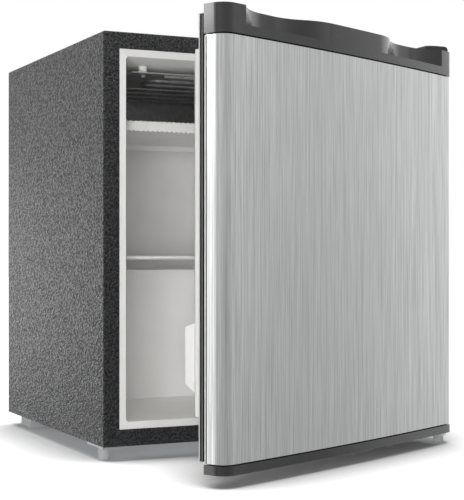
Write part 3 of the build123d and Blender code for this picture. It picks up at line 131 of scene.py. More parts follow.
class Nodes:
    """A node tree under construction, with short ways to add and join nodes."""

    def __init__(self, tree):
        self.tree = tree

    def put(self, socket, value):
        """Give an input a plain value or another node's output."""
        if isinstance(value, bpy.types.NodeSocket):
            self.tree.links.new(value, socket)
        else:
            socket.default_value = value

    def node(self, kind, values=None, **settings):
        """Add a node, with its settings and what its inputs take."""
        node = self.tree.nodes.new(kind)
        for key, value in settings.items():
            setattr(node, key, value)
        for key, value in (values or {}).items():
            self.put(node.inputs[key], value)
        return node

    def math(self, operation, first, second):
        """Sum, product or the like of two values."""
        return self.node("ShaderNodeMath", {0: first, 1: second}, operation=operation).outputs["Value"]

    def mix(self, factor, first, second):
        """Blend of two values."""
        return self.node("ShaderNodeMix", {"Factor": factor, "A": first, "B": second}).outputs["Result"]

    def spread(self, factor, start, end, low, high):
        """Move a value from one range to another."""
        values = {"Value": factor, "From Min": start, "From Max": end, "To Min": low, "To Max": high}
        return self.node("ShaderNodeMapRange", values).outputs["Result"]

    def axes(self, vector):
        """The three parts of a vector."""
        return self.node("ShaderNodeSeparateXYZ", {"Vector": vector}).outputs

    def band(self, factor, stops, steps=False):
        """Colour along a value, through pairs of a place and a colour."""
        blend = self.node("ShaderNodeValToRGB", {"Fac": factor})
        band = blend.color_ramp
        band.interpolation = "CONSTANT" if steps else "LINEAR"
        while len(band.elements) < len(stops):
            band.elements.new(1.0)
        for element, (place, colour) in zip(band.elements, stops):
            element.position = place
            element.color = (*colour, 1)
        return blend.outputs["Color"]


# Finishes


class Finish(Nodes):
    """A material under construction, with its main shader."""

    def __init__(self, name, colour, roughness, **sockets):
        self.material = bpy.data.materials.new(name)
        self.material.use_nodes = True
        self.material.diffuse_color = (*colour, 1)
        super().__init__(self.material.node_tree)
        self.shader = self.tree.nodes["Principled BSDF"]
        self.drive(Base_Color=(*colour, 1), Roughness=roughness, **sockets)

    def drive(self, **sockets):
        """Set or link inputs of the shader, with underscores for the spaces in their names."""
        for name, value in sockets.items():
            self.put(self.shader.inputs[name.replace("_", " ")], value)

    def coordinates(self, **mapping):
        """Object coordinates, stretched, turned or moved."""
        place = self.node("ShaderNodeTexCoord")
        values = {"Vector": place.outputs["Object"], **mapping}
        return self.node("ShaderNodeMapping", values).outputs["Vector"]

    def door_depth(self, front, back):
        """How deep a place lies in the closed door, from 0 at the front to 1 at the back."""
        closed = self.coordinates(Rotation=(0, 0, -AJAR), Location=CLOSED.to_translation())
        return self.spread(self.axes(closed)["Y"], front, back, 0, 1)

    def noise(self, vector, scale, detail=2.0, distortion=0.0):
        """Cloudy pattern with values from 0 to 1."""
        values = {"Vector": vector, "Scale": scale, "Detail": detail, "Distortion": distortion}
        return self.node("ShaderNodeTexNoise", values).outputs["Fac"]

    def roughen(self, factor, low, high, start=0.3, end=0.7):
        """Drive the roughness by a pattern."""
        self.drive(Roughness=self.spread(factor, start, end, low, high))

    def tint(self, factor, *stops, steps=False):
        """Colour the surface by a pattern, through pairs of a place and a colour."""
        self.drive(Base_Color=self.band(factor, stops, steps))

    def bump(self, height, distance, strength=1.0):
        """Raise the surface by a pattern."""
        values = {"Height": height, "Distance": distance, "Strength": strength}
        self.drive(Normal=self.node("ShaderNodeBump", values).outputs["Normal"])


def shade(colour, factor):
    """A colour made lighter or darker."""
    return tuple(channel * factor for channel in colour)


def grained_paint(name):
    """Near-black paint on sheet embossed with a fine leather grain."""
    look = bpy.context.scene.fridge_cabinet
    paint = Finish(name, look.paint, 0.4)
    cells = 1 / look.grain
    vector = paint.coordinates(Scale=(cells, cells * 0.5, cells * 0.8))
    grain = paint.noise(vector, 1.0, detail=0.4, distortion=0.9)
    paint.tint(grain, (0.44, shade(look.paint, 0.05)), (0.56, shade(look.paint, 3.8)))
    paint.roughen(grain, 0.55, 0.3, 0.42, 0.58)
    paint.bump(grain, look.grain * 2.0)
    return paint.material


def brushed_steel(name):
    """Steel sheet brushed from top to bottom."""
    look = bpy.context.scene.fridge_door
    steel = Finish(name, look.steel, 0.3, Metallic=1.0)
    line = 1 / look.brush_line
    fine = steel.noise(steel.coordinates(Scale=(line, line, 1 / look.brush_length)), 1.0, 3.0)
    broad = steel.noise(steel.coordinates(Scale=(line / 2, line / 2, 0.4 / look.brush_length)), 1.0, 1.0)
    streaks = steel.math("MULTIPLY", steel.math("ADD", fine, broad), 0.5)
    steel.tint(streaks, (0.36, shade(look.steel, 0.76)), (0.64, shade(look.steel, 1.18)))
    steel.roughen(streaks, 0.38, 0.26)
    steel.bump(fine, 0.00001, 0.4)
    return steel.material


def moulded_plastic(name, colour, roughness, grain=0.0008, **sockets):
    """Moulded plastic with a faint tool grain and uneven gloss."""
    plastic = Finish(name, colour, roughness, **sockets)
    vector = plastic.coordinates()
    cloud = plastic.noise(vector, 30.0, 3.0)
    plastic.tint(cloud, (0.3, shade(colour, 0.98)), (0.7, shade(colour, 1.02)))
    plastic.roughen(cloud, roughness * 0.88, roughness * 1.12)
    plastic.bump(plastic.noise(vector, 1 / grain, 1.0), 0.00001, 0.6)
    return plastic.material


def gloss_cap(name):
    """Dark moulded plastic with a clear gloss."""
    colour = bpy.context.scene.fridge_door.cap
    return moulded_plastic(name, colour, 0.26, Coat_Weight=0.5, Coat_Roughness=0.12)


def foot_plastic(name):
    """Grey plastic for the feet, nearly black for the plugs on top."""
    grey = (0.5, 0.5, 0.5)
    plastic = Finish(name, grey, 0.4)
    vector = plastic.coordinates()
    height = plastic.spread(plastic.axes(vector)["Z"], SHELL_LOW.z, SHELL_HIGH.z, 0, 1)
    plastic.tint(height, (0.4, grey), (0.6, (0.03, 0.03, 0.03)))
    plastic.roughen(plastic.noise(vector, 60.0), 0.34, 0.46)
    return plastic.material


def ribbed_seal(name):
    """Soft grey seal with painted shade: its bellows folds and back are tinted near black and its middle rib
    grey, where shade falls.
    """
    look = bpy.context.scene.fridge_door
    seal = Finish(name, look.seal, 0.5)
    low, high = closed_box("door_gasket")
    deep = high.y - low.y
    # Painted shade: near-black colour for the folds and the back of the seal, standing in for the shade in
    # these recesses.
    fold = shade(look.seal, 0.03)
    wall = FOLD_WALL / deep
    lip = 1 - look.seal_lip / deep + wall
    rib = lip - look.seal_fold / deep - wall
    last = rib - look.seal_rib / deep + wall
    # Painted shade: the middle rib is tinted grey and the folds near black; only the sealing lip keeps the
    # seal's own grey.
    stops = ((0.0, fold), (last, shade(look.seal, 0.3)), (rib, fold), (lip, look.seal))
    seal.tint(seal.door_depth(low.y, high.y), *stops, steps=True)
    seal.roughen(seal.noise(seal.coordinates(), 200.0), 0.42, 0.58)
    return seal.material


def zinc_sheet(name):
    """Zinc-plated sheet with its crystal spangle."""
    zinc = Finish(name, (0.6, 0.62, 0.64), 0.4, Metallic=1.0)
    spangle = zinc.node("ShaderNodeTexVoronoi", {"Vector": zinc.coordinates(), "Scale": 85.0})
    parts = zinc.node("ShaderNodeSeparateColor", {"Color": spangle.outputs["Color"]}).outputs
    zinc.tint(parts["Red"], (0.0, (0.5, 0.52, 0.54)), (1.0, (0.7, 0.72, 0.74)))
    zinc.roughen(parts["Green"], 0.34, 0.5, 0.0, 1.0)
    return zinc.material


def bright_metal(name, colour, roughness):
    """Plated or drawn metal with faint tarnish."""
    metal = Finish(name, colour, roughness, Metallic=1.0)
    cloud = metal.noise(metal.coordinates(), 160.0, 4.0)
    metal.tint(cloud, (0.3, shade(colour, 0.82)), (0.7, shade(colour, 1.06)))
    metal.roughen(cloud, roughness * 0.8, roughness * 1.3)
    return metal.material


def enamel(name, colour, roughness, uneven=0.12):
    """Sprayed gloss paint with a slight orange peel."""
    paint = Finish(name, colour, roughness)
    vector = paint.coordinates()
    peel = paint.noise(vector, 450.0, 1.0)
    paint.bump(peel, 0.00004, 0.5)
    paint.roughen(paint.noise(vector, 40.0), roughness * 0.85, roughness * 1.2)
    paint.tint(peel, (0.3, shade(colour, 1 - uneven)), (0.7, shade(colour, 1 + uneven)))
    return paint.material


def foam_block(name):
    """Cream insulation with open cells."""
    foam = Finish(name, (0.8, 0.72, 0.5), 0.9)
    cells = foam.noise(foam.coordinates(), 500.0, 3.0)
    foam.tint(cells, (0.3, (0.68, 0.6, 0.38)), (0.7, (0.86, 0.8, 0.58)))
    foam.bump(cells, 0.0004, 0.8)
    return foam.material


# Maker of each slot's finish, with its colour, its roughness and a grain or unevenness
WHITE = (0.9, 0.895, 0.88)
FINISHES = {
    "textured_steel": (grained_paint,),
    "zinc_sheet": (zinc_sheet,),
    "zinc_screws": (bright_metal, (0.66, 0.67, 0.68), 0.3),
    "foam": (foam_block,),
    "white_liner": (moulded_plastic, WHITE, 0.34, 0.002),
    "white_moulding": (moulded_plastic, WHITE, 0.3, 0.0015),
    "white_wire": (enamel, WHITE, 0.25, 0.02),
    "roll_bond": (bright_metal, (0.8, 0.81, 0.82), 0.42),
    "grey_knob": (moulded_plastic, (0.5, 0.51, 0.52), 0.4),
    "black_enamel": (enamel, (0.014, 0.014, 0.015), 0.28),
    "pump_iron": (bright_metal, (0.3, 0.3, 0.3), 0.6),
    "black_moulding": (moulded_plastic, (0.02, 0.02, 0.021), 0.38),
    "black_rubber": (moulded_plastic, (0.016, 0.016, 0.016), 0.75),
    "copper": (bright_metal, (0.72, 0.38, 0.24), 0.32),
    "brushed_door": (brushed_steel,),
    "cap_grey": (gloss_cap,),
    "gasket_grey": (ribbed_seal,),
    "magnet": (moulded_plastic, (0.06, 0.05, 0.05), 0.7),
    "nylon": (moulded_plastic, (0.82, 0.82, 0.8), 0.4),
    "grey_feet": (foot_plastic,),
}


def finish_for(slot):
    """The finish of a material slot, made once."""
    name = slot + "_finish"
    if name not in bpy.data.materials:
        maker, *values = FINISHES[slot]
        maker(name, *values)
    return bpy.data.materials[name]


def dress(*nodes):
    """Give construction pieces the finish of their slot."""
    for node in nodes:
        piece = frame["nodes"][node]
        piece.data.materials.clear()
        piece.data.materials.append(finish_for(SLOT_OF[node]))


# Mesh making


def new_mesh(name, form):
    """A plain mesh from a bmesh, which is freed."""
    mesh = bpy.data.meshes.new(name)
    form.to_mesh(mesh)
    form.free()
    return mesh


def placed(name, data):
    """A new object in the scene."""
    item = bpy.data.objects.new(name, data)
    bpy.context.scene.collection.objects.link(item)
    return item


def baked(holder):
    """Plain mesh of an object after its modifiers; the object is taken out."""
    graph = bpy.context.evaluated_depsgraph_get()
    mesh = bpy.data.meshes.new_from_object(holder.evaluated_get(graph))
    bpy.data.objects.remove(holder)
    return mesh


def shaped(mesh, *steps):
    """The mesh after a row of modifiers, each given as its kind and its settings."""
    holder = placed("holder", mesh)
    for kind, settings in steps:
        modifier = holder.modifiers.new(kind, kind)
        for key, value in settings.items():
            setattr(modifier, key, value)
    return baked(holder)


def combined(mesh, tool, operation):
    """The mesh after a cut, join or overlap with a tool mesh."""
    operand = placed("tool", tool)
    result = shaped(mesh, ("BOOLEAN", {"object": operand, "operation": operation, "solver": "EXACT"}))
    bpy.data.objects.remove(operand)
    return result


def merged(mesh):
    """Weld a mesh and take out the edges inside its flat faces."""
    form = bmesh.new()
    form.from_mesh(mesh)
    bmesh.ops.remove_doubles(form, verts=form.verts, dist=WELD)
    bmesh.ops.dissolve_limit(form, angle_limit=FLAT_ANGLE, verts=form.verts, edges=form.edges)
    return new_mesh(mesh.name, form)


def rounded(mesh, width, segments=2):
    """Smooth a mesh and round its sharp edges."""
    mesh.polygons.foreach_set("use_smooth", [True] * len(mesh.polygons))
    mesh.set_sharp_from_angle(angle=SMOOTH_ANGLE)
    if not width:
        return mesh
    settings = {
        "width": width, "segments": segments, "limit_method": "ANGLE", "angle_limit": SHARP_ANGLE,
        "harden_normals": True, "use_clamp_overlap": True,
    }
    return shaped(mesh, ("BEVEL", settings))


def set_down(name, mesh, *nodes):
    """Make a finished mesh the piece that stands for construction nodes."""
    first = nodes[0]
    mesh.name = name
    mesh.materials.clear()
    mesh.materials.append(finish_for(SLOT_OF[first]))
    piece = placed(name, mesh)
    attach(piece, frame["nodes"][first]["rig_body"])
    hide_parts(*nodes)


def soften(width, **names):
    """Replace construction nodes by welded copies with smooth curves and rounded edges."""
    for name, node in names.items():
        set_down(name, rounded(merged(frame["nodes"][node].data), width), node)


def prism(name, outline, low, high, closed=True):
    """Solid between two heights over an outline that runs anticlockwise, or its open wall."""
    form = bmesh.new()
    base = [form.verts.new((x, y, low)) for x, y in outline]
    top = [form.verts.new((x, y, high)) for x, y in outline]
    if closed:
        form.faces.new(base[::-1])
        form.faces.new(top)
    for i in range(len(base) if closed else len(base) - 1):
        j = (i + 1) % len(base)
        form.faces.new((base[i], base[j], top[j], top[i]))
    return new_mesh(name, form)


def block(low, high):
    """Box between two opposite corners."""
    outline = [(low[0], low[1]), (high[0], low[1]), (high[0], high[1]), (low[0], high[1])]
    return prism("block", outline, low[2], high[2])


def drum(centre, radius, low, high, sides=32):
    """Upright round bar."""
    turns = [2 * math.pi * i / sides for i in range(sides)]
    outline = [(centre[0] + radius * math.cos(a), centre[1] + radius * math.sin(a)) for a in turns]
    return prism("drum", outline, low, high)


# Geometry Nodes pieces


SOCKETS = {
    float: "NodeSocketFloat", int: "NodeSocketInt", Vector: "NodeSocketVector",
    bpy.types.Material: "NodeSocketMaterial",
}


class Growth(Nodes):
    """A geometry node tree under construction, with named inputs."""

    def __init__(self, name, **inputs):
        super().__init__(bpy.data.node_groups.new(name, "GeometryNodeTree"))
        self.inputs = inputs
        self.tree.interface.new_socket("Geometry", in_out="INPUT", socket_type="NodeSocketGeometry")
        for key, value in inputs.items():
            self.tree.interface.new_socket(key, in_out="INPUT", socket_type=SOCKETS[type(value)])
        self.tree.interface.new_socket("Geometry", in_out="OUTPUT", socket_type="NodeSocketGeometry")
        self.entry = self.tree.nodes.new("NodeGroupInput")
        self.exit = self.tree.nodes.new("NodeGroupOutput")

    def given(self, name):
        """Output of a named input."""
        return self.entry.outputs[name]

    def vector(self, x=0.0, y=0.0, z=0.0):
        """Vector from three values."""
        return self.node("ShaderNodeCombineXYZ", {0: x, 1: y, 2: z}).outputs["Vector"]

    def rod(self, start, end, radius, sides=10):
        """Round bar between two points."""
        line = self.node("GeometryNodeCurvePrimitiveLine", {"Start": start, "End": end})
        return self.tube(line.outputs["Curve"], radius, sides)

    def tube(self, curve, radius, sides=10):
        """Round tube along a curve."""
        ring = self.node("GeometryNodeCurvePrimitiveCircle", {"Resolution": sides, "Radius": radius})
        values = {"Curve": curve, "Profile Curve": ring.outputs["Curve"], "Fill Caps": True}
        return self.node("GeometryNodeCurveToMesh", values).outputs["Mesh"]

    def row(self, shape, count, start, step):
        """Copies of a shape along a line."""
        line = self.node("GeometryNodeMeshLine", {"Count": count, "Start Location": start, "Offset": step})
        return self.copies(shape, line.outputs["Mesh"])

    def copies(self, shape, points, turn=(0, 0, 0)):
        """Copies of a shape on points."""
        values = {"Points": points, "Instance": shape, "Rotation": turn}
        return self.node("GeometryNodeInstanceOnPoints", values).outputs["Instances"]

    def moved(self, shape, place):
        """A shape moved by a vector."""
        values = {"Geometry": shape, "Translation": place}
        return self.node("GeometryNodeTransform", values).outputs["Geometry"]

    def together(self, *shapes):
        """Several shapes as one."""
        node = self.node("GeometryNodeJoinGeometry")
        for shape in shapes:
            self.tree.links.new(shape, node.inputs["Geometry"])
        return node.outputs["Geometry"]

    def grow(self, shape, points=()):
        """Close the tree and return the mesh that it makes on given points."""
        real = self.node("GeometryNodeRealizeInstances", {"Geometry": shape})
        smooth = self.node("GeometryNodeSetShadeSmooth", {"Geometry": real.outputs["Geometry"]})
        coat = {"Geometry": smooth.outputs["Geometry"], "Material": self.given("Finish")}
        painted = self.node("GeometryNodeSetMaterial", coat)
        self.tree.links.new(painted.outputs["Geometry"], self.exit.inputs["Geometry"])
        base = bpy.data.meshes.new(self.tree.name)
        base.from_pydata(points, [], [])
        holder = placed(self.tree.name, base)
        modifier = holder.modifiers.new(self.tree.name, "NODES")
        modifier.node_group = self.tree
        for item in self.tree.interface.items_tree:
            if item.in_out == "INPUT" and item.name in self.inputs:
                modifier[item.identifier] = self.inputs[item.name]
        return baked(holder)


def islands(node):
    """Boxes of the separate solids of a construction node."""
    form = bmesh.new()
    form.from_mesh(frame["nodes"][node].data)
    bmesh.ops.remove_doubles(form, verts=form.verts, dist=WELD)
    left = set(form.verts)
    boxes = []
    while left:
        found = [left.pop()]
        for vertex in found:
            near = {edge.other_vert(vertex) for edge in vertex.link_edges} & left
            left -= near
            found.extend(near)
        boxes.append(span([vertex.co for vertex in found]))
    form.free()
    return sorted(boxes, key=lambda box: tuple(box[0]))


# Screws: rise of the head and radius of the shank, then shares of the head's radius
TAPPING_SCREW = (0.0022, 0.002)
HINGE_SCREW = (0.002, 0.0024)
PUMP_BOLT = (0.004, 0.003)
HEAD_TOP = 0.7
SLOT_LONG = 0.95
SLOT_WIDE = 0.24
HEAD_TURNS = {"up": (0, 0, 0), "down": (math.pi, 0, 0), "back": (-math.pi / 2, 0, 0)}


def screws(name, node, size, facing):
    """Cross-recessed screws in place of a node of screws, all with their heads facing one way."""
    rise, shank = size
    boxes = islands(node)
    axis = 1 if facing == "back" else 2
    low, high = boxes[0]
    whole = high[axis] - low[axis]
    head = (high.x - low.x) / 2
    tree = Growth(name, Head=head, Rise=rise, Shank=shank, Length=whole, Finish=finish_for(SLOT_OF[node]))
    cone = {
        "Vertices": 24, "Radius Top": tree.math("MULTIPLY", tree.given("Head"), HEAD_TOP),
        "Radius Bottom": tree.given("Head"), "Depth": tree.given("Rise"),
    }
    screw = tree.node("GeometryNodeMeshCone", cone).outputs["Mesh"]
    long = tree.math("MULTIPLY", tree.given("Head"), SLOT_LONG)
    wide = tree.math("MULTIPLY", tree.given("Head"), SLOT_WIDE)
    for x, y in ((long, wide), (wide, long)):
        cube = tree.node("GeometryNodeMeshCube", {"Size": tree.vector(x, y, tree.given("Rise"))})
        bar = tree.moved(cube.outputs["Mesh"], tree.vector(z=tree.given("Rise")))
        cut = tree.node("GeometryNodeMeshBoolean", {"Mesh 1": screw, "Mesh 2": bar}, operation="DIFFERENCE")
        screw = cut.outputs["Mesh"]
    neck = tree.math("SUBTRACT", tree.given("Rise"), tree.given("Length"))
    stem = tree.rod((0, 0, 0), tree.vector(z=neck), tree.given("Shank"), sides=16)
    seats = []
    for low, high in boxes:
        seat = (low + high) / 2
        seat[axis] = low[axis] + rise if facing == "down" else high[axis] - rise
        seats.append(seat)
    screw = tree.together(screw, stem)
    mesh = tree.grow(tree.copies(screw, tree.given("Geometry"), HEAD_TURNS[facing]), seats)
    mesh.set_sharp_from_angle(angle=SMOOTH_ANGLE)
    set_down(name, mesh, node)


# Look values


def size_value(name, description, default, low=0.0001):
    """A size that a user can change, down to a lowest value."""
    return FloatProperty(
        name=name, description=description, default=default, min=low, precision=4, unit="LENGTH",
    )


def colour_value(name, description, default):
    """A colour that a user can change."""
    return FloatVectorProperty(
        name=name, description=description, default=default, min=0.0, max=1.0, subtype="COLOR",
    )


class CabinetLook(PropertyGroup):
    """Cabinet."""

    paint: colour_value("Paint", "Colour of the cabinet", (0.0085, 0.0088, 0.0098))
    grain: size_value("Grain", "Size of the embossed grain", 0.0019, low=0.0005)
    edge: size_value("Edge", "Rounding of moulded edges", 0.0007, low=0.0)
    bar_pitch: size_value("Bar pitch", "Pitch of the shelf bars", 0.021, low=0.006)
    frame_wire: size_value("Frame wire", "Radius of the shelf frame", 0.0019)
    bar_wire: size_value("Bar wire", "Radius of the shelf bars", 0.0013)
    shelf_corner: size_value("Shelf corner", "Bend at the shelf corners", 0.014)
    cross_wires: IntProperty(name="Cross wires", description="Wires under the shelf bars", default=2, min=0)


class DoorLook(PropertyGroup):
    """Door."""

    steel: colour_value("Steel", "Colour of the door sheet", (0.555, 0.565, 0.56))
    brush_line: size_value("Brush line", "Width of a brush line", 0.0006)
    brush_length: size_value("Brush length", "Length of a brush line", 0.05)
    cap: colour_value("Caps", "Colour of the door caps", (0.008, 0.0083, 0.0086))
    seal: colour_value("Seal", "Colour of the door seal", (0.5, 0.5, 0.5))
    seal_lip: size_value("Seal lip", "Depth of the sealing rib", 0.0023)
    seal_fold: size_value("Seal fold", "Width of a fold of the seal", 0.0016)
    seal_rib: size_value("Seal rib", "Width of the middle rib", 0.0018)
    seal_dip: size_value("Seal dip", "Depth of a fold of the seal", 0.0022)
    # Seam inset and seam width size the dark strips in the door's side joint, which are painted shade.
    seam_inset: size_value("Seam inset", "Depth of the side joint", 0.0004)
    seam_width: size_value("Seam width", "Width of the bead in the joint", 0.005)
    seal_width: size_value("Seal width", "Width of the seal", 0.014)
    bow: size_value("Bow", "Bow of the door front", 0.0065, low=0.001)
    corner: size_value("Corner", "Radius of the upright edges", 0.0155, low=0.008)
    sheet: size_value("Sheet", "Thickness of the door sheet", 0.0008)
    turn_in: size_value("Turn in", "Width of the sheet behind the door", 0.009)
    spigot: size_value("Spigot", "Depth of the caps inside the sheet", 0.006)
    scoop_flush: size_value("Scoop start", "Where a scoop leaves the front", 0.0465)
    scoop_deep: size_value("Scoop deep", "Where a scoop is deepest", 0.123)
    scoop_end: size_value("Scoop end", "Where a scoop turns out", 0.143)
    scoop_out: size_value("Scoop out", "Where a scoop ends", 0.191)
    scoop_wall: size_value("Scoop wall", "Thickness behind a scoop", 0.011)
    rim_height: size_value("Rim height", "Height of the scoop rim", 0.0097)
    rim_thick: size_value("Rim", "Thickness of the scoop rim", 0.0035)
    pocket_height: size_value("Pocket", "Height of the pocket floor", 0.0045)


class StageLook(PropertyGroup):
    """Camera and light."""

    camera_place: FloatVectorProperty(
        name="Camera place", description="Camera from the middle of the cabinet's lower front edge",
        subtype="TRANSLATION", default=(-0.7327, -1.4015, 0.2329),
    )
    camera_turn: FloatVectorProperty(
        name="Camera turn", description="Turn of the camera", subtype="EULER",
        default=(math.radians(90.197), 0, math.radians(-25.531)),
    )
    lens: FloatProperty(name="Lens", description="Focal length", default=95.6, min=1.0, unit="CAMERA")
    ambient: FloatProperty(name="Ambient", description="Even light from all around", default=0.2, min=0.0)
    shadow: size_value("Shadow", "Reach of the shadow round the part", 0.14)


# Door forms, modelled closed


# How far the visible outlines stand in from the solids
OUTLINE_IN = 0.0001
SHEET_IN = 0.0009
SHEET_SHORT = 0.0005
SPIGOT_IN = 0.007
SPIGOT_SHORT = 0.0011
CAP_RIM = 0.003

# Holes in the caps
BORE = 0.0061
TOP_BORE_DEEP = 0.016
FOOT_BORE_DEEP = 0.008
SCREW_HOLE = 0.0021
SCREW_SINK = 0.0041
SINK_DEEP = 0.0022

# Reach of cutters past the door, and points along its arcs
CUT_FAR = 0.02
CUT_BESIDE = 0.05
CORNER_STEPS = 14
FRONT_STEPS = 24
SWING_SIDES = 96


def arc(centre, radius, start, end, steps):
    """Points along an arc."""
    turns = [start + (end - start) * i / steps for i in range(steps + 1)]
    return [(centre[0] + radius * math.cos(a), centre[1] + radius * math.sin(a)) for a in turns]


class DoorPlan:
    """Plan of the closed door: a bowed front between round corners."""

    def __init__(self, inset):
        look = bpy.context.scene.fridge_door
        self.half = DOOR_HIGH.x - DOOR_X - inset
        self.corner = look.corner - inset
        self.big = (self.half ** 2 + look.bow ** 2) / (2 * look.bow)
        self.centre = DOOR_LOW.y + inset + self.big

    def front(self, x):
        """Depth of the bowed front at a distance from the middle."""
        return self.centre - math.sqrt(self.big ** 2 - x ** 2)

    def outline(self, back):
        """Points from the back left corner round the front to the back right corner."""
        reach = self.half - self.corner
        lean = math.asin(reach / (self.big - self.corner))
        depth = self.centre - (self.big - self.corner) * math.cos(lean)
        down = 1.5 * math.pi
        left = (DOOR_X - reach, depth)
        right = (DOOR_X + reach, depth)
        points = [(DOOR_X - self.half, back)]
        points += arc(left, self.corner, math.pi, down - lean, CORNER_STEPS)
        points += arc((DOOR_X, self.centre), self.big, down - lean, down + lean, FRONT_STEPS)[1:-1]
        points += arc(right, self.corner, down + lean, 2 * math.pi, CORNER_STEPS)
        return points + [(DOOR_X + self.half, back)]


def bend(start, end):
    """Arc that leaves its start along the door's width."""
    across = end[0] - start[0]
    along = end[1] - start[1]
    lift = (across ** 2 + along ** 2) / (2 * along)
    centre = (start[0], start[1] + lift)
    first = math.atan2(-lift, 0)
    last = math.atan2(end[1] - centre[1], end[0] - centre[0])
    turn = (last - first + math.pi) % (2 * math.pi) - math.pi
    return arc(centre, abs(lift), first, first + turn, CORNER_STEPS)


def scoop_outline(side, back):
    """Plan of a finger scoop, open to the front, anticlockwise."""
    look = bpy.context.scene.fridge_door
    plan = DoorPlan(OUTLINE_IN)
    wall = back - look.scoop_wall
    start = (look.scoop_flush, plan.front(look.scoop_flush))
    deep = (look.scoop_deep, wall)
    middle = ((start[0] + deep[0]) / 2, (start[1] + deep[1]) / 2)
    end = (look.scoop_out, plan.front(look.scoop_out))
    ahead = start[1] - CUT_FAR
    points = bend(start, middle) + bend(deep, middle)[-2::-1]
    points += bend((look.scoop_end, wall), end) + [(end[0], ahead), (start[0], ahead)]
    points = [(DOOR_X + side * x, y) for x, y in points]
    return points[::-1] if side > 0 else points


def bores(low, high):
    """Round cutters at the hinge axis and at its mirror place."""
    mirrored = 2 * DOOR_X - HINGE.x
    return [drum((x, HINGE.y), BORE, low, high) for x in (HINGE.x, mirrored)]


def liner_seat(back):
    """Cutter for the edge of the door liner."""
    half = DoorPlan(CAP_RIM).half
    bottom = closed_box("door_bottom_cap")[0].z + CAP_RIM
    top = DOOR_HIGH.z - CAP_RIM
    front = closed_box("door_liner")[0].y
    low = (DOOR_X - half, min(front, back), bottom)
    return block(low, (DOOR_X + half, back + CUT_OVER, top))


def finish_cap(name, node, cap, cutters):
    """Cut a cap, round its edges and swing it to the open door."""
    for cutter in cutters:
        cap = combined(cap, cutter, "DIFFERENCE")
    cap = merged(cap)
    cap.transform(OPENED)
    set_down(name, rounded(cap, bpy.context.scene.fridge_cabinet.edge), node)


def cap_blank(node, joint, far):
    """Solid of a door cap with its spigot, before it is cut."""
    look = bpy.context.scene.fridge_door
    back = closed_box(node)[1].y
    skin_back = closed_box("door_skin")[1].y
    body = prism(node, DoorPlan(OUTLINE_IN).outline(back), min(joint, far), max(joint, far))
    away = -1 if far > joint else 1
    ends = sorted((joint + away * look.spigot, joint - away * CUT_OVER))
    inner = DoorPlan(SPIGOT_IN).outline(skin_back - SPIGOT_SHORT)
    return combined(body, prism(node, inner, *ends), "UNION")


class FRIDGE_OT_door_skin(Operator):
    """Bowed brushed sheet with round upright edges and turned-in backs"""

    bl_idname = "fridge.door_skin"
    bl_label = "Door sheet"

    def execute(self, context):
        look = context.scene.fridge_door
        low, high = closed_box("door_skin")
        back = high.y - SHEET_SHORT
        path = DoorPlan(SHEET_IN).outline(back)
        path.insert(0, (path[0][0] + look.turn_in, back))
        path.append((path[-1][0] - look.turn_in, back))
        mesh = prism("door_sheet", path, low.z, high.z, closed=False)
        mesh = shaped(mesh, ("SOLIDIFY", {"thickness": look.sheet, "offset": -1, "use_even_offset": True}))
        mesh.transform(OPENED)
        set_down("door_sheet", rounded(mesh, 0), "door_skin")
        return {"FINISHED"}


class FRIDGE_OT_door_caps(Operator):
    """Dark caps over and under the sheet, the upper one with two finger scoops"""

    bl_idname = "fridge.door_caps"
    bl_label = "Door caps"

    def execute(self, context):
        look = context.scene.fridge_door
        low, high = DOOR_LOW, DOOR_HIGH
        joint = low.z + look.spigot
        rim = joint + look.rim_height
        floor = joint + look.pocket_height
        over = high.z + CUT_OVER
        cutters = bores(high.z - TOP_BORE_DEEP, over) + [liner_seat(high.y)]
        behind = prism("behind", DoorPlan(look.rim_thick).outline(high.y), floor - CUT_OVER, over + CUT_OVER)
        for side in (-1, 1):
            outline = scoop_outline(side, high.y)
            cutters.append(prism("scoop", outline, rim, over))
            cutters.append(combined(prism("pocket", outline, floor, over), behind, "INTERSECT"))
        finish_cap("top_cap", "door_top_cap", cap_blank("door_top_cap", joint, high.z), cutters)

        low, high = closed_box("door_bottom_cap")
        joint = high.z - look.spigot
        cutters = bores(low.z - CUT_OVER, low.z + FOOT_BORE_DEEP) + [liner_seat(high.y)]
        for box in islands("cap_screws"):
            centre = CLOSED @ ((box[0] + box[1]) / 2)
            cutters.append(drum(centre, SCREW_HOLE, low.z - CUT_OVER, high.z + CUT_OVER, sides=16))
            cutters.append(drum(centre, SCREW_SINK, low.z - CUT_OVER, low.z + SINK_DEEP, sides=24))
        finish_cap("bottom_cap", "door_bottom_cap", cap_blank("door_bottom_cap", joint, low.z), cutters)
        return {"FINISHED"}


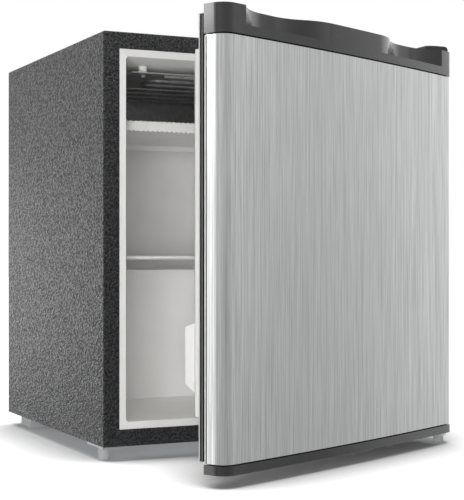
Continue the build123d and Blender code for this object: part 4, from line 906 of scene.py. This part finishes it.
class FRIDGE_OT_door_seal(Operator):
    """Bellows seal round the back of the door, relieved past the hinge, and dark strips in the joint that
    are painted shade
    """

    bl_idname = "fridge.door_seal"
    bl_label = "Door seal"

    def execute(self, context):
        look = context.scene.fridge_door
        low, high = closed_box("door_gasket")
        lip = high.y - look.seal_lip
        rib = lip - look.seal_fold
        last = rib - look.seal_rib
        soft = FINE_EDGE
        profile = [
            (look.seal_width, high.y), (soft, high.y), (0, high.y - soft), (0, lip + soft), (soft, lip),
            (look.seal_dip, lip), (look.seal_dip, rib), (soft, rib), (0, rib - soft), (0, last + soft),
            (soft, last), (look.seal_dip, last), (look.seal_dip, low.y), (look.seal_width, low.y),
        ]
        form = bmesh.new()
        loops = []
        for inset, y in profile:
            left, right = low.x + inset, 2 * DOOR_X - low.x - inset
            bottom, top = low.z + inset, high.z - inset
            corners = ((left, bottom), (right, bottom), (right, top), (left, top))
            loops.append([form.verts.new((x, y, z)) for x, z in corners])
        for i in range(len(loops)):
            here, there = loops[i], loops[(i + 1) % len(loops)]
            for j in range(4):
                k = (j + 1) % 4
                form.faces.new((here[j], here[k], there[k], there[j]))
        bmesh.ops.recalc_face_normals(form, faces=form.faces)
        seal = new_mesh("door_seal", form)
        far = (HINGE.x + CUT_BESIDE, high.y + CUT_OVER, high.z + CUT_OVER)
        cutter = block((HINGE.x, low.y - CUT_OVER, low.z - CUT_OVER), far)
        swing = drum(HINGE, high.y - HINGE.y, low.z - 2 * CUT_OVER, high.z + 2 * CUT_OVER, SWING_SIDES)
        seal = combined(seal, combined(cutter, swing, "DIFFERENCE"), "DIFFERENCE")
        seal.transform(OPENED)
        set_down("door_seal", rounded(seal, 0), "door_gasket")
        self.seam(look)
        return {"FINISHED"}

    def seam(self, look):
        """Near-black strips in the joint between the sheet and the lining, set in from both sides: painted
        shade that makes the gap read dark.
        """
        low, high = closed_box("door_skin")
        front = high.y - SHEET_SHORT
        back = closed_box("door_liner")[0].y
        form = bmesh.new()
        for outer in (low.x + look.seam_inset, high.x - look.seam_inset):
            inner = outer + math.copysign(look.seam_width, DOOR_X - outer)
            left, right = sorted((outer, inner))
            form.from_mesh(block((left, front, low.z), (right, back, high.z)))
        # Painted shade: solid black strips put into the joint where there is only a shadow gap.
        shade_strip = new_mesh("seam_shade_strips", form)
        shade_strip.transform(OPENED)
        shade_strip.materials.append(finish_for("black_rubber"))
        piece = placed("seam_shade_strips", shade_strip)
        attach(piece, "door")


class FRIDGE_OT_door_trim(Operator):
    """White lining with its racks, and the small fittings of the door"""

    bl_idname = "fridge.door_trim"
    bl_label = "Door trim"

    def execute(self, context):
        soften(FINE_EDGE, door_lining="door_liner")
        soften(RACK_EDGE, low_rack="lower_door_rack", high_rack="upper_door_rack")
        soften(FINE_EDGE, pivot_bushes="door_bushes", bore_plugs="door_hole_plugs")
        screws("sunk_screws", "cap_screws", TAPPING_SCREW, "down")
        return {"FINISHED"}


# Cabinet forms


# Drop of the cross wires under the shelf bars, as a share of the wire's radius
CROSS_DROP = 1.3


class FRIDGE_OT_bare_nodes(Operator):
    """Give every construction piece its finish"""

    bl_idname = "fridge.bare_nodes"
    bl_label = "Construction pieces"

    def execute(self, context):
        dress(*frame["nodes"])
        return {"FINISHED"}


class FRIDGE_OT_shell(Operator):
    """Folded sheets of the cabinet with their screws and plugs"""

    bl_idname = "fridge.shell"
    bl_label = "Cabinet sheets"

    def execute(self, context):
        soften(0, shell_wrap="outer_shell", lower_border="front_rail")
        soften(SHEET_EDGE, floor_pan="base_pan", rear_sheet="back_panel", bay_sheet="bay_panel")
        soften(SMALL_EDGE, hole_plugs="hinge_hole_plugs")
        screws("rear_screws", "back_screws", TAPPING_SCREW, "back")
        return {"FINISHED"}


class FRIDGE_OT_inside(Operator):
    """White tub, chiller, tray and control box"""

    bl_idname = "fridge.inside"
    bl_label = "Inside"

    def execute(self, context):
        edge = context.scene.fridge_cabinet.edge
        soften(edge, liner_tub="inner_liner", drip_tray="chiller_tray")
        soften(SMALL_EDGE, chiller_plate="evaporator", plate_spacers="evaporator_spacers")
        soften(MOULDED_EDGE, control_box="thermostat_box", control_knob="thermostat_knob")
        screws("chiller_screws", "evaporator_screws", TAPPING_SCREW, "down")
        return {"FINISHED"}


class FRIDGE_OT_shelf(Operator):
    """Welded wire shelf: bent frame, bars and cross wires"""

    bl_idname = "fridge.shelf"
    bl_label = "Wire shelf"

    def execute(self, context):
        look = context.scene.fridge_cabinet
        low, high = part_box("wire_shelf")
        wide = high.x - low.x - 2 * look.frame_wire
        deep = high.y - low.y - 2 * look.frame_wire
        bars = int((wide - 2 * look.shelf_corner) // look.bar_pitch)
        place = Vector(((low.x + high.x) / 2, (low.y + high.y) / 2, high.z - look.frame_wire))
        tree = Growth(
            "shelf_grid", Width=wide, Depth=deep, Corner=look.shelf_corner, Frame=look.frame_wire,
            Wire=look.bar_wire, Pitch=look.bar_pitch, Bars=bars + 1, Crosses=look.cross_wires, Place=place,
            Finish=finish_for("white_wire"),
        )
        size = {"Width": tree.given("Width"), "Height": tree.given("Depth")}
        quad = tree.node("GeometryNodeCurvePrimitiveQuadrilateral", size)
        bent = tree.node(
            "GeometryNodeFilletCurve",
            {"Curve": quad.outputs["Curve"], "Radius": tree.given("Corner"), "Count": 8}, mode="POLY",
        )
        rim = tree.tube(bent.outputs["Curve"], tree.given("Frame"), sides=14)
        ahead = tree.math("MULTIPLY", tree.given("Depth"), -0.5)
        behind = tree.math("MULTIPLY", tree.given("Depth"), 0.5)
        bar = tree.rod(tree.vector(y=ahead), tree.vector(y=behind), tree.given("Wire"))
        span = tree.math("MULTIPLY", tree.math("SUBTRACT", tree.given("Bars"), 1.0), tree.given("Pitch"))
        left = tree.math("MULTIPLY", span, -0.5)
        right = tree.math("MULTIPLY", span, 0.5)
        step = tree.vector(x=tree.given("Pitch"))
        grid = tree.row(bar, tree.given("Bars"), tree.vector(x=left), step)
        cross = tree.rod(tree.vector(x=left), tree.vector(x=right), tree.given("Wire"))
        gap = tree.math("DIVIDE", tree.given("Depth"), tree.math("ADD", tree.given("Crosses"), 1.0))
        drop = tree.math("MULTIPLY", tree.given("Wire"), -CROSS_DROP)
        start = tree.vector(y=tree.math("ADD", ahead, gap), z=drop)
        crosses = tree.row(cross, tree.given("Crosses"), start, tree.vector(y=gap))
        mesh = tree.grow(tree.moved(tree.together(rim, grid, crosses), tree.given("Place")))
        mesh.set_sharp_from_angle(angle=ROD_ANGLE)
        set_down("shelf_grid", mesh, "wire_shelf")
        return {"FINISHED"}


class FRIDGE_OT_machine(Operator):
    """Compressor, its tray and its electrical box"""

    bl_idname = "fridge.machine"
    bl_label = "Compressor"

    def execute(self, context):
        soften(PRESSED_EDGE, pump_shell="compressor_shell", pump_plate="compressor_base")
        soften(PRESSED_EDGE, pump_tray="compressor_tray")
        soften(MOULDED_EDGE, relay_box="relay_cover", cord_bush="cord_gland")
        soften(MOULDED_EDGE, pump_cushions="compressor_grommets")
        screws("pump_bolts", "compressor_bolts", PUMP_BOLT, "up")
        return {"FINISHED"}


class FRIDGE_OT_coil(Operator):
    """Condenser tube, its wires and clips, and the thin refrigerant tubes"""

    bl_idname = "fridge.coil"
    bl_label = "Condenser"

    def execute(self, context):
        soften(0, coil_tube="condenser_tube", hot_tube="discharge_tube", return_tube="suction_tube")
        soften(0, drier_can="filter_drier", fine_tube="capillary_tube")
        soften(FINE_EDGE, coil_clips="condenser_brackets")
        boxes = islands("condenser_wires")
        low, high = boxes[0]
        tree = Growth(
            "coil_wires", Length=high.z - low.z, Wire=(high.x - low.x) / 2, Finish=finish_for("black_enamel")
        )
        wire = tree.rod((0, 0, 0), tree.vector(z=tree.given("Length")), tree.given("Wire"), sides=8)
        feet = [((low.x + high.x) / 2, (low.y + high.y) / 2, low.z) for low, high in boxes]
        mesh = tree.grow(tree.copies(wire, tree.given("Geometry")), feet)
        mesh.set_sharp_from_angle(angle=ROD_ANGLE)
        set_down("coil_wires", mesh, "condenser_wires")
        return {"FINISHED"}


class FRIDGE_OT_hinges(Operator):
    """Hinge leaves, pins, screws and the black hood over the upper hinge"""

    bl_idname = "fridge.hinges"
    bl_label = "Hinges"

    def execute(self, context):
        soften(FINE_EDGE, top_leaf="upper_hinge_plate", foot_leaf="lower_hinge_plate")
        soften(FINE_EDGE, top_pivot="upper_hinge_pin", foot_pivot="lower_hinge_pin")
        soften(FINE_EDGE, pivot_washer="lower_hinge_washer")
        soften(MOULDED_EDGE, hinge_hood="upper_hinge_cover")
        screws("top_leaf_screws", "upper_hinge_screws", HINGE_SCREW, "up")
        screws("foot_leaf_screws", "lower_hinge_screws", HINGE_SCREW, "down")
        return {"FINISHED"}


class FRIDGE_OT_feet(Operator):
    """Levelling feet at the front and fixed feet at the rear"""

    bl_idname = "fridge.feet"
    bl_label = "Feet"

    def execute(self, context):
        soften(SMALL_EDGE, left_leveller="front_foot_left", right_leveller="front_foot_right")
        soften(FINE_EDGE, left_leaf="left_foot_plate")
        soften(BLOCK_EDGE, rear_blocks="rear_feet")
        screws("rear_block_screws", "rear_foot_screws", TAPPING_SCREW, "up")
        return {"FINISHED"}


# Stage


# Light of the surround from straight ahead of the part to straight behind it, as metal shows it
SURROUND = ((0.0, 0.6), (0.2, 0.82), (0.31, 0.9), (0.385, 0.38), (0.47, 1.05), (0.55, 1.2), (1.0, 0.84))

# Range of heights of the surround, and the share of its light at both ends
SURROUND_TILT = (-0.3, 0.3, 0.72, 1.28)

# Share of open sky over the floor at no glow and at full glow, half its width, and the camera's reach
FLOOR_OPEN = (0.45, 0.95)
FLOOR_HALF = 12.0
VIEW_REACH = 50.0

# Lamps, placed and aimed from the middle of the cabinet's front, with the rays that miss them
LAMPS = {
    "top_softbox": {"place": (-0.3, -0.3, 2.2), "size": (3.0, 3.0), "power": 36},
    "left_softbox": {
        "place": (-0.42, 1.0, -0.06), "aim": (-0.22, 0.35, 0.0), "size": (0.36, 0.4), "power": 0.7,
    },
    "left_strip": {"place": (-2.0, 0.35, 0.1), "size": (0.36, 1.6), "power": 2.4, "missed": ("diffuse",)},
    "cap_strip": {"place": (-2.0, 0.35, 0.66), "size": (0.36, 0.24), "power": 2.6, "missed": ("diffuse",)},
    "front_softbox": {
        "place": (-0.85, -1.3, -0.01), "aim": (-0.1, 0.1, 0.16), "size": (0.4, 0.4), "power": 10.5,
        "missed": ("glossy",),
    },
    "inside_softbox": {
        "place": (0.06, 0.08, -0.02), "aim": (-0.04, 0.4, 0.04), "size": (0.16, 0.3), "power": 0.07,
        "missed": ("camera", "glossy"),
    },
}


def area_light(name, place, size, power, aim=(0, 0, 0), missed=()):
    """Soft lamp that looks at a point."""
    middle = Vector((CABINET_X, FRONT_Y, SHELL_HIGH.z / 2))
    data = bpy.data.lights.new(name, "AREA")
    data.shape = "RECTANGLE"
    data.size, data.size_y = size
    data.energy = power
    lamp = placed(name, data)
    lamp.location = middle + Vector(place)
    lamp.rotation_euler = (Vector(aim) - Vector(place)).to_track_quat("-Z", "Y").to_euler()
    for rays in missed:
        setattr(lamp, "visible_" + rays, False)


class FRIDGE_OT_stage(Operator):
    """Set up the floor, the light and the camera"""

    bl_idname = "fridge.stage"
    bl_label = "Stage"

    def execute(self, context):
        scene = context.scene
        look = scene.fridge_stage
        scene.view_settings.view_transform = "Standard"
        self.floor(look)
        self.surround(scene, look)
        for name, lamp in LAMPS.items():
            area_light(name, **lamp)
        data = bpy.data.cameras.new("camera")
        data.lens = look.lens
        data.clip_end = VIEW_REACH
        camera = placed("camera", data)
        camera.location = Vector((CABINET_X, FRONT_Y, 0)) + Vector(look.camera_place)
        camera.rotation_euler = look.camera_turn
        scene.camera = camera
        return {"FINISHED"}

    def floor(self, look):
        """Wide pale floor that glows white for the camera where nothing stands over it, a painted light;
        near the part occlusion takes the glow away as a painted shade.
        """
        mesh = bpy.data.meshes.new("floor")
        half = FLOOR_HALF
        corners = [(-half, -half, 0), (half, -half, 0), (half, half, 0), (-half, half, 0)]
        mesh.from_pydata(corners, [], [(0, 1, 2, 3)])
        floor = placed("floor", mesh)
        floor.visible_glossy = False
        paint = Finish("floor", (0.7, 0.7, 0.7), 0.8, Emission_Color=(1, 1, 1, 1))
        # Painted shade: occlusion takes the camera glow away near the part, so the floor darkens round and
        # under it.
        cover = paint.node("ShaderNodeAmbientOcclusion", {"Distance": look.shadow})
        glow = paint.spread(cover.outputs["AO"], *FLOOR_OPEN, 0.0, 1.0)
        path = paint.node("ShaderNodeLightPath")
        paint.drive(Emission_Strength=paint.math("MULTIPLY", path.outputs["Is Camera Ray"], glow))
        mesh.materials.append(paint.material)

    def surround(self, scene, look):
        """Surround that is white for the camera, even for lighting and shaped for metal."""
        scene.world = bpy.data.worlds.new("studio")
        scene.world.use_nodes = True
        sky = Nodes(scene.world.node_tree)
        place = sky.node("ShaderNodeTexCoord")
        axes = sky.axes(place.outputs["Generated"])
        stops = [(where, (light, light, light)) for where, light in SURROUND]
        along = sky.band(sky.spread(axes["Y"], -1, 1, 0, 1), stops)
        shown = sky.math("MULTIPLY", along, sky.spread(axes["Z"], *SURROUND_TILT))
        path = sky.node("ShaderNodeLightPath").outputs
        mirrored = sky.math("MAXIMUM", path["Is Glossy Ray"], path["Is Transmission Ray"])
        seen = sky.mix(path["Is Camera Ray"], look.ambient, 1.0)
        background = sky.tree.nodes["Background"].inputs
        sky.put(background["Color"], (1, 1, 1, 1))
        sky.put(background["Strength"], sky.mix(mirrored, seen, shown))


OPERATORS = (
    FRIDGE_OT_bare_nodes,
    FRIDGE_OT_shell,
    FRIDGE_OT_inside,
    FRIDGE_OT_shelf,
    FRIDGE_OT_machine,
    FRIDGE_OT_coil,
    FRIDGE_OT_hinges,
    FRIDGE_OT_feet,
    FRIDGE_OT_door_skin,
    FRIDGE_OT_door_caps,
    FRIDGE_OT_door_seal,
    FRIDGE_OT_door_trim,
    FRIDGE_OT_stage,
)


class FRIDGE_PT_sidebar(Panel):
    """Look values and piece buttons."""

    bl_idname = "FRIDGE_PT_sidebar"
    bl_label = "Mini fridge"
    bl_space_type = "VIEW_3D"
    bl_region_type = "UI"
    bl_category = "Fridge"

    def draw(self, context):
        scene = context.scene
        for group in (scene.fridge_cabinet, scene.fridge_door, scene.fridge_stage):
            box = self.layout.box()
            for key in group.__annotations__:
                box.prop(group, key)
        for operator in OPERATORS:
            self.layout.operator(operator.bl_idname)


CLASSES = (CabinetLook, DoorLook, StageLook) + OPERATORS + (FRIDGE_PT_sidebar,)


def register():
    """Add the classes and the look values to Blender."""
    for item in CLASSES:
        bpy.utils.register_class(item)
    bpy.types.Scene.fridge_cabinet = PointerProperty(type=CabinetLook)
    bpy.types.Scene.fridge_door = PointerProperty(type=DoorLook)
    bpy.types.Scene.fridge_stage = PointerProperty(type=StageLook)


def unregister():
    """Take the look values and the classes out again."""
    del bpy.types.Scene.fridge_stage
    del bpy.types.Scene.fridge_door
    del bpy.types.Scene.fridge_cabinet
    for item in reversed(CLASSES):
        bpy.utils.unregister_class(item)


def main():
    """Make every piece in order."""
    register()
    bpy.ops.fridge.bare_nodes()
    bpy.ops.fridge.shell()
    bpy.ops.fridge.inside()
    bpy.ops.fridge.shelf()
    bpy.ops.fridge.machine()
    bpy.ops.fridge.coil()
    bpy.ops.fridge.hinges()
    bpy.ops.fridge.feet()
    bpy.ops.fridge.door_skin()
    bpy.ops.fridge.door_caps()
    bpy.ops.fridge.door_seal()
    bpy.ops.fridge.door_trim()
    bpy.ops.fridge.stage()


if __name__ == "__main__":
    main()
